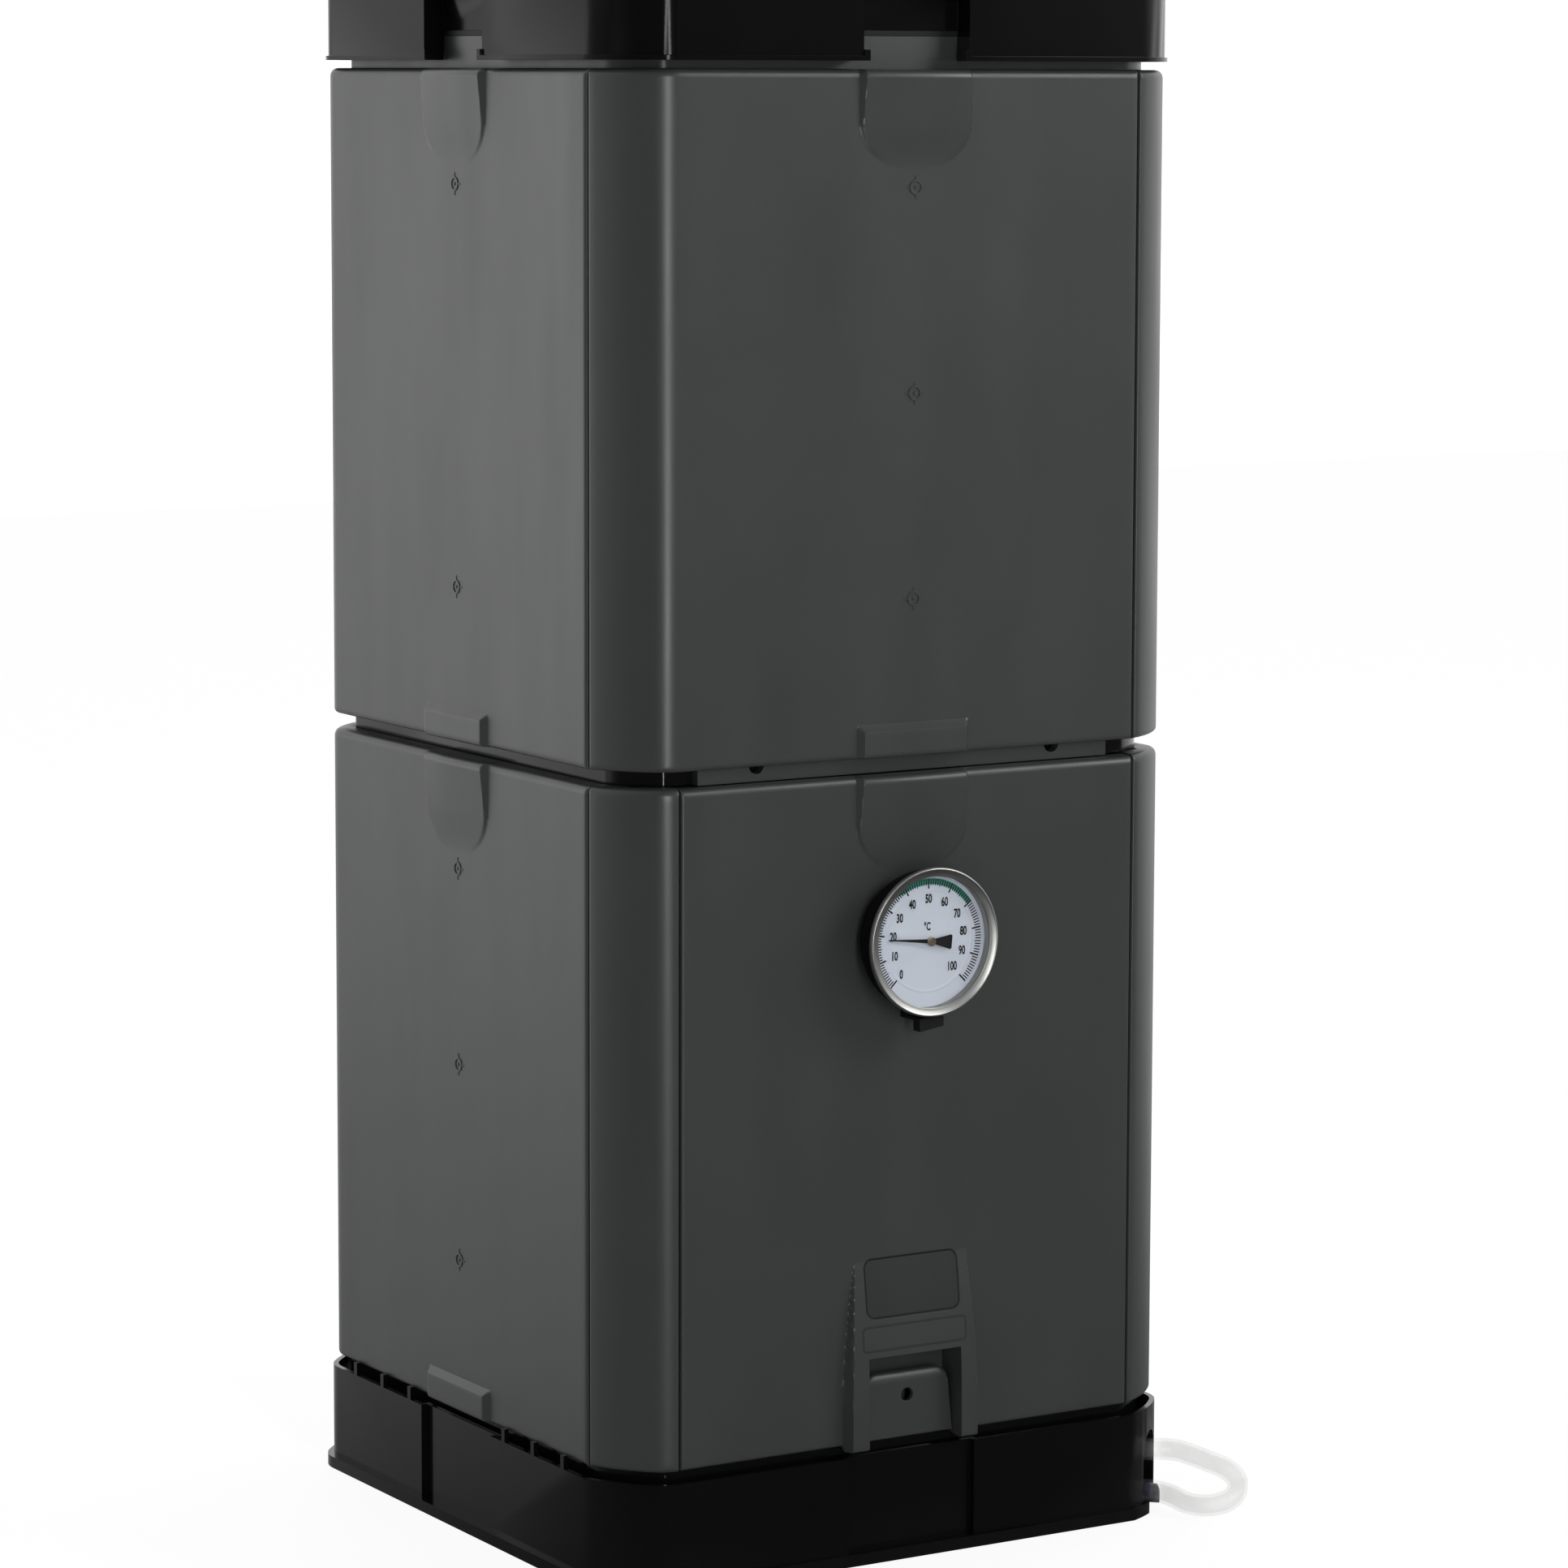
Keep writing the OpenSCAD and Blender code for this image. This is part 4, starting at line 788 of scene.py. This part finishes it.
def make_fittings():
    """The drain outlet and the blind stub for the free end of the hose. Their wall and tips are read
    from the frame, whose boxes reach a collar's or a tip's radius further along the diagonal."""
    low, high = node_box("drain_seal")
    wall = (low[0] - high[1]) / math.sqrt(2) + COLLAR_R
    for name, node, z, gap in (("outlet_spigot", "drain_outlet", OUTLET_Z, 2.0),
                               ("holder_stub", "hose_holder", HOLDER_Z, 0.0)):
        low, high = node_box(node)
        tip = (high[0] - low[1]) / math.sqrt(2) - TIP_R
        spigot = barbed(wall + gap, tip - wall - gap, z)
        piece(name, spigot, "bin", "blue_plastic", [node], sharp=30)


# Materials

class Nodes:
    """Short ways to add linked nodes to a tree. place is the coordinate that its textures read."""

    def __init__(self, tree, place):
        self.tree = tree
        self.place = self.node("TexCoord")[place]

    def fill(self, node, sockets):
        """Links each given socket to its input of a node, or sets the input to its value."""
        for key, value in dict(sockets).items():
            if isinstance(value, bpy.types.NodeSocket):
                self.tree.links.new(value, node.inputs[key])
            else:
                node.inputs[key].default_value = value

    def node(self, kind, sockets=(), **values):
        """Outputs of a new node."""
        made = given(self.tree.nodes.new("ShaderNode" + kind), **values)
        self.fill(made, sockets)
        return made.outputs

    def math(self, operation, *values):
        """Result of a calculation."""
        return self.node("Math", enumerate(values), operation=operation)["Value"]

    def span(self, value, start, end, low=0.0, high=1.0):
        """A value of low to high carried over to start to end."""
        return self.node("MapRange", {"Value": value, "From Min": low, "From Max": high,
                                      "To Min": start, "To Max": end})["Result"]

    def noise(self, scale, detail, stretch=None, **more):
        """Cloudy noise, with its place scaled along each axis where stretch is given."""
        place = self.place
        if stretch:
            place = self.node("Mapping", {"Vector": place, "Scale": stretch})["Vector"]
        return self.node("TexNoise", {"Vector": place, "Scale": scale, "Detail": detail, **more})["Fac"]

    def seen(self):
        """One for what the camera sees, also through clear pieces."""
        rays = self.node("LightPath")
        return self.math("MAXIMUM", rays["Is Camera Ray"], rays["Is Transmission Ray"])


class Finish(Nodes):
    """A new material, and short ways to set its Principled shader."""

    def __init__(self, name):
        self.material = bpy.data.materials.new(name)
        self.material.use_nodes = True
        super().__init__(self.material.node_tree, "Object")
        self.shade = self.tree.nodes["Principled BSDF"]

    def put(self, sockets):
        """Sets or links inputs of the shader."""
        self.fill(self.shade, sockets)

    def dye(self, colour, tone):
        """Colours the shader by a colour times a tone."""
        tinted = self.node("VectorMath", {0: (*colour,), 3: tone}, operation="SCALE")
        self.put({"Base Color": tinted["Vector"]})

    def bump(self, height, strength, distance):
        """Roughens the surface by a height."""
        bump = self.node("Bump", {"Height": height, "Strength": strength, "Distance": distance})
        self.put({"Normal": bump["Normal"]})


def moulded(name, colour, roughness, mottle=0.10, grain=0.05, gloss=0.5, groove_shade_and_plate_tone=False):
    """Moulded plastic: cloudy colour over centimetres, fine grain, and a roughness that wanders in
    faint upright flow streaks. gloss is the strength of its mirror part. Where asked, the mesh's
    fine lines are darker and duller: painted shade in the handle's grooves, and the upper plate's
    own darker tone."""
    look = Finish(name)
    tone = look.span(look.noise(7.0, 4.0, Roughness=0.6), 1 - mottle, 1 + mottle, 0.3, 0.7)
    look.put({"Specular IOR Level": gloss})
    if groove_shade_and_plate_tone:
        # Painted shade: the 'line' attribute darkens the grooves round the handle's plates and dulls their
        # gloss; it also carries the upper plate's own darker tone
        dark = look.span(look.node("Attribute", attribute_name="line")["Fac"], 1.0, 0.25)
        tone = look.math("MULTIPLY", tone, dark)
        look.put({"Specular IOR Level": look.math("MULTIPLY", dark, gloss)})
    look.dye(colour, tone)
    streak = look.noise(1.0, 5.0, (26.0, 26.0, 5.0))
    look.put({"Roughness": look.span(streak, roughness * 0.88, roughness * 1.12, 0.3, 0.7)})
    both = look.math("MULTIPLY_ADD", look.noise(11.0, 1.0), 14.0, look.noise(1400.0, 2.0))
    look.bump(both, grain, 0.0004)
    return look.material


def metal(name, colour, roughness):
    """Spun or turned metal: fine lines across the dial's axis in the roughness and the bump."""
    look = Finish(name)
    lines = look.noise(1.0, 3.0, (60.0, 2600.0, 60.0))
    look.dye(colour, look.span(look.noise(60.0, 3.0), 0.86, 1.1))
    look.put({"Roughness": look.span(lines, roughness * 0.7, roughness * 1.3), "Metallic": 1.0})
    look.bump(lines, 0.15, 0.0002)
    return look.material


def clear(name, tint, roughness, ior, haze):
    """Clear glass: light goes through it, with a little wandering haze."""
    look = Finish(name)
    cloud = look.noise(90.0, 3.0)
    look.dye(tint, look.span(cloud, 1 - haze, 1.0))
    look.put({"Roughness": look.span(cloud, roughness, roughness + haze * 0.4),
              "Transmission Weight": 1.0, "IOR": ior})
    return look.material


def veiled(name, tint, cover):
    """Soft clear vinyl as a thin veil: each wall hides a little of what lies behind it, more where
    the haze is thicker and least where it is stretched over its fittings."""
    look = Finish(name)
    cloud = look.noise(70.0, 3.0)
    out = look.node("VectorMath", {0: look.place, 1: tuple(DRAIN_OUT)}, operation="DOT_PRODUCT")
    loose = look.span(out["Value"], 0.2, 1.0, GRIP_END - 0.012, GRIP_END)
    haze = look.span(cloud, cover * 0.7, cover * 1.3)
    look.put({"Alpha": look.math("MULTIPLY", haze, loose), "Roughness": 0.15})
    look.dye(tint, look.span(cloud, 0.94, 1.0))
    return look.material


def foamed(name, colour):
    """Expanded foam: closely packed beads in the colour and the bump."""
    look = Finish(name)
    beads = look.node("TexVoronoi", {"Vector": look.place, "Scale": 260.0})["Distance"]
    look.dye(colour, look.span(beads, 1.0, 0.8))
    look.put({"Roughness": 0.8})
    look.bump(beads, 0.5, 0.001)
    return look.material


# Every finish, by its slot or by a plain name
LOOKS = {}


def make_looks(settings):
    """Fills LOOKS."""
    grey, black = settings.panel_colour, settings.black_colour
    LOOKS.update(
        panel_plastic=moulded("panel plastic", grey, 0.36, 0.05, 0.10),
        # The door's finish paints shade into the grooves round the handle's plates
        door=moulded("door plastic", grey, 0.36, 0.05, 0.10, groove_shade_and_plate_tone=True),
        black_plastic=moulded("black plastic", black, 0.14, 0.10, 0.04, 0.24),
        lid=moulded("lid plastic", black, 0.14, 0.10, 0.04, 0.11),
        black_steel=moulded("black enamel", (0.003, 0.003, 0.003), 0.55, 0.10, 0.03, 0.15),
        grey_plastic=moulded("inner grey plastic", (0.085, 0.088, 0.088), 0.5, 0.10, 0.08),
        blue_plastic=moulded("navy fitting plastic", (0.010, 0.014, 0.035), 0.25, 0.10, 0.03),
        black_rubber=moulded("black rubber", (0.005, 0.005, 0.005), 0.55, 0.15, 0.12, 0.3),
        foam=foamed("white foam", (0.80, 0.79, 0.75)),
        steel=metal("spun steel", (0.46, 0.465, 0.45), 0.38),
        sleeve=moulded("case lining", (0.30, 0.30, 0.29), 0.45, 0.06, 0.02),
        brass=metal("turned brass", (0.36, 0.28, 0.21), 0.30),
        dial_white=moulded("printed dial", (0.88, 0.93, 1.0), 0.45, 0.01, 0.02),
        needle_black=moulded("black ink", (0.006, 0.006, 0.008), 0.5, 0.10, 0.02, 0.3),
        green=moulded("green ink", (0.02, 0.30, 0.20), 0.45, 0.06, 0.02),
        gauge_glass=clear("dial glass", (0.97, 0.98, 1.0), 0.0, 1.46, 0.01),
        clear_hose=veiled("clear vinyl", (0.80, 0.79, 0.78), 0.145))


def dress_frame():
    """Finishes for the CAD nodes that stay in sight."""
    slots = {part["node"]: part["material_slot"] for part in frame["record"]["subparts"]}
    for node, thing in frame["nodes"].items():
        thing.data.materials.clear()
        thing.data.materials.append(LOOKS[slots[node]])


# Stage

def make_stage(settings):
    """Pale floor, soft lights and the white surround that the camera and the gloss see."""
    make_floor()
    for name, spot, aim, size, power in (
            ("key", (2.9, -2.5, 2.7), (0, 0, 0.6), (2.0, 2.0), settings.key_power),
            ("strip", (-0.85, -3.9, 0.9), (-0.2, -0.2, 0.62), (0.30, 2.4), settings.strip_power),
            ("back", (-2.8, 2.3, 0.9), (-0.25, 0, 0.5), (2.0, 2.0), settings.back_power)):
        lamp = given(bpy.data.lights.new(name, "AREA"), shape="RECTANGLE", size=size[0],
                     size_y=size[1], energy=power)
        holder = linked(name, lamp)
        holder.matrix_world = facing(spot, np.subtract(aim, spot))
    make_surround(settings)
    bpy.context.scene.view_settings.view_transform = "Standard"


def make_floor():
    """White floor. The camera sees it mostly as plain white with the shadow in it; gloss sees it
    bright behind the bin and dark before it, as the studio was."""
    reach, drop = 9.0, -0.0004
    mesh = bpy.data.meshes.new("floor")
    mesh.from_pydata([(-reach, -reach, drop), (reach, -reach, drop), (reach, reach, drop),
                      (-reach, reach, drop)], [], [(0, 1, 2, 3)])
    linked("floor", mesh)
    look = Finish("pale floor")
    mesh.materials.append(look.material)
    look.put({"Base Color": (0.86, 0.86, 0.86, 1), "Roughness": 0.9, "Specular IOR Level": 0.0})
    way = look.node("SeparateXYZ", {"Vector": look.place})
    before = look.span(way["Y"], 0.10, 1.0, -0.4, 0.5)
    away = look.node("VectorMath", {0: look.place}, operation="LENGTH")["Value"]
    level = look.math("MULTIPLY", before, look.span(away, 0.5, 1.05, 0.5, 5.0))
    gloss, plain = (look.node("Emission", {"Strength": strength})["Emission"] for strength in (level, 1.1))
    part = look.math("MULTIPLY", look.seen(), 0.80)
    white = look.node("MixShader", {0: part, 1: look.shade.outputs["BSDF"], 2: plain})["Shader"]
    glossy = look.node("LightPath")["Is Glossy Ray"]
    mix = look.node("MixShader", {0: glossy, 1: white, 2: gloss})["Shader"]
    look.fill(look.tree.nodes["Material Output"], {"Surface": mix})


def make_surround(settings):
    """The surround by direction: bright behind the bin, dim before it, a little lighter on the
    right; plain white to the camera and through clear pieces."""
    world = bpy.data.worlds.new("surround")
    bpy.context.scene.world = world
    world.use_nodes = True
    sky = Nodes(world.node_tree, "Generated")
    way = sky.node("SeparateXYZ", {"Vector": sky.place})
    behind = sky.span(way["Y"], settings.front_level, 1.2, -0.35, 0.45)
    right = sky.span(way["X"], 0.0, 0.45, 0.1, 0.9)
    level = sky.math("MAXIMUM", sky.seen(), sky.math("MAXIMUM", behind, right))
    sky.fill(sky.tree.nodes["Background"], {"Color": (1, 1, 1, 1), "Strength": level})


def facing(spot, forward, roll=0.0):
    """Matrix of a camera or lamp at spot that looks along forward."""
    forward = unit(forward)
    right = unit(np.cross(forward, [0, 0, 1.0]))
    up = np.cross(right, forward)
    c, s = math.cos(roll), math.sin(roll)
    right, up = right * c + up * s, up * c - right * s
    matrix = np.eye(4)
    matrix[:3] = np.stack([right, up, -forward, spot], -1)
    return Matrix(matrix.tolist())


def make_camera():
    """The photograph's camera: its place, and its way as a turn to the right and a tilt down."""
    spot = np.array([-2.152, -3.593, 1.110])
    turn, tilt, roll = math.radians(31.39), math.radians(6.643), math.radians(0.156)
    focal_pixels, rise_pixels, sensor = 6649.7, 100.0, 36.0
    forward = np.array([math.sin(turn) * math.cos(tilt), math.cos(turn) * math.cos(tilt), -math.sin(tilt)])
    camera = given(bpy.data.cameras.new("camera"), sensor_width=sensor, clip_start=0.1, clip_end=100,
                   lens=focal_pixels / PHOTO_SIZE * sensor, shift_y=-rise_pixels / PHOTO_SIZE)
    thing = linked("camera", camera)
    thing.matrix_world = facing(spot, forward, roll)
    bpy.context.scene.camera = thing


# Operators

class Make(bpy.types.Operator):
    """Makes one group of pieces."""

    bl_idname = "compost_bin.make"
    bl_label = "Make"

    def execute(self, context):
        """Runs the group's own function."""
        self.make(context.scene.compost_bin)
        return {"FINISHED"}


class MakeCamera(Make):
    """Sets the camera and the finishes."""

    bl_idname = "compost_bin.camera"
    bl_label = "Camera and finishes"

    def make(self, settings):
        make_camera()
        make_looks(settings)


class MakeHose(Make):
    """Makes the clear drain hose and its fittings."""

    bl_idname = "compost_bin.hose"
    bl_label = "Drain hose"

    def make(self, settings):
        make_hose()
        make_fittings()


class MakePanels(Make):
    """Makes the panels of both tiers and the corner post."""

    bl_idname = "compost_bin.panels"
    bl_label = "Panels"

    def make(self, settings):
        make_panels(settings)
        make_post(settings)


class MakeDoor(Make):
    """Makes the door with its handle."""

    bl_idname = "compost_bin.door"
    bl_label = "Door"

    def make(self, settings):
        make_door(settings)


class MakeThermometer(Make):
    """Makes the dial thermometer."""

    bl_idname = "compost_bin.thermometer"
    bl_label = "Thermometer"

    def make(self, settings):
        make_thermometer(settings)


class MakeBase(Make):
    """Makes the black base and lid, and dresses the frame's own nodes."""

    bl_idname = "compost_bin.base"
    bl_label = "Base and lid"

    def make(self, settings):
        dress_frame()
        dressed("base_tray", "bin", "black_plastic", 0.9)
        dressed("lid_shell", "lid", "black_plastic", 0.7, "lid")
        dressed("tier_ring", "bin", "black_plastic", 0.4)
        dressed("neck_ring", "bin", "panel_plastic", 0.5)
        dressed("door_lintel", "bin", "panel_plastic", 0.4)


class MakeStage(Make):
    """Makes the floor, the lights and the white surround."""

    bl_idname = "compost_bin.stage"
    bl_label = "Stage"

    def make(self, settings):
        make_stage(settings)


STEPS = (MakeCamera, MakeHose, MakePanels, MakeDoor, MakeThermometer, MakeBase, MakeStage)


class BinPanel(bpy.types.Panel):
    """Lists the settings and the steps."""

    bl_idname = "VIEW3D_PT_compost_bin"
    bl_label = "Compost bin"
    bl_space_type = "VIEW_3D"
    bl_region_type = "UI"
    bl_category = "Compost bin"

    def draw(self, context):
        """Shows each setting, then a button for each step."""
        settings = context.scene.compost_bin
        for name in BinSettings.__annotations__:
            self.layout.prop(settings, name)
        for step in STEPS:
            self.layout.operator(step.bl_idname)


CLASSES = (BinSettings, *STEPS, BinPanel)


def register():
    """Registers the classes and hangs the settings on the scene."""
    for entry in CLASSES:
        bpy.utils.register_class(entry)
    bpy.types.Scene.compost_bin = bpy.props.PointerProperty(type=BinSettings)


def unregister():
    """Takes the settings and the classes away again."""
    del bpy.types.Scene.compost_bin
    for entry in reversed(CLASSES):
        bpy.utils.unregister_class(entry)


def main():
    register()
    for step in STEPS:
        group, name = step.bl_idname.split(".")
        getattr(getattr(bpy.ops, group), name)()


if __name__ == "__main__":
    main()
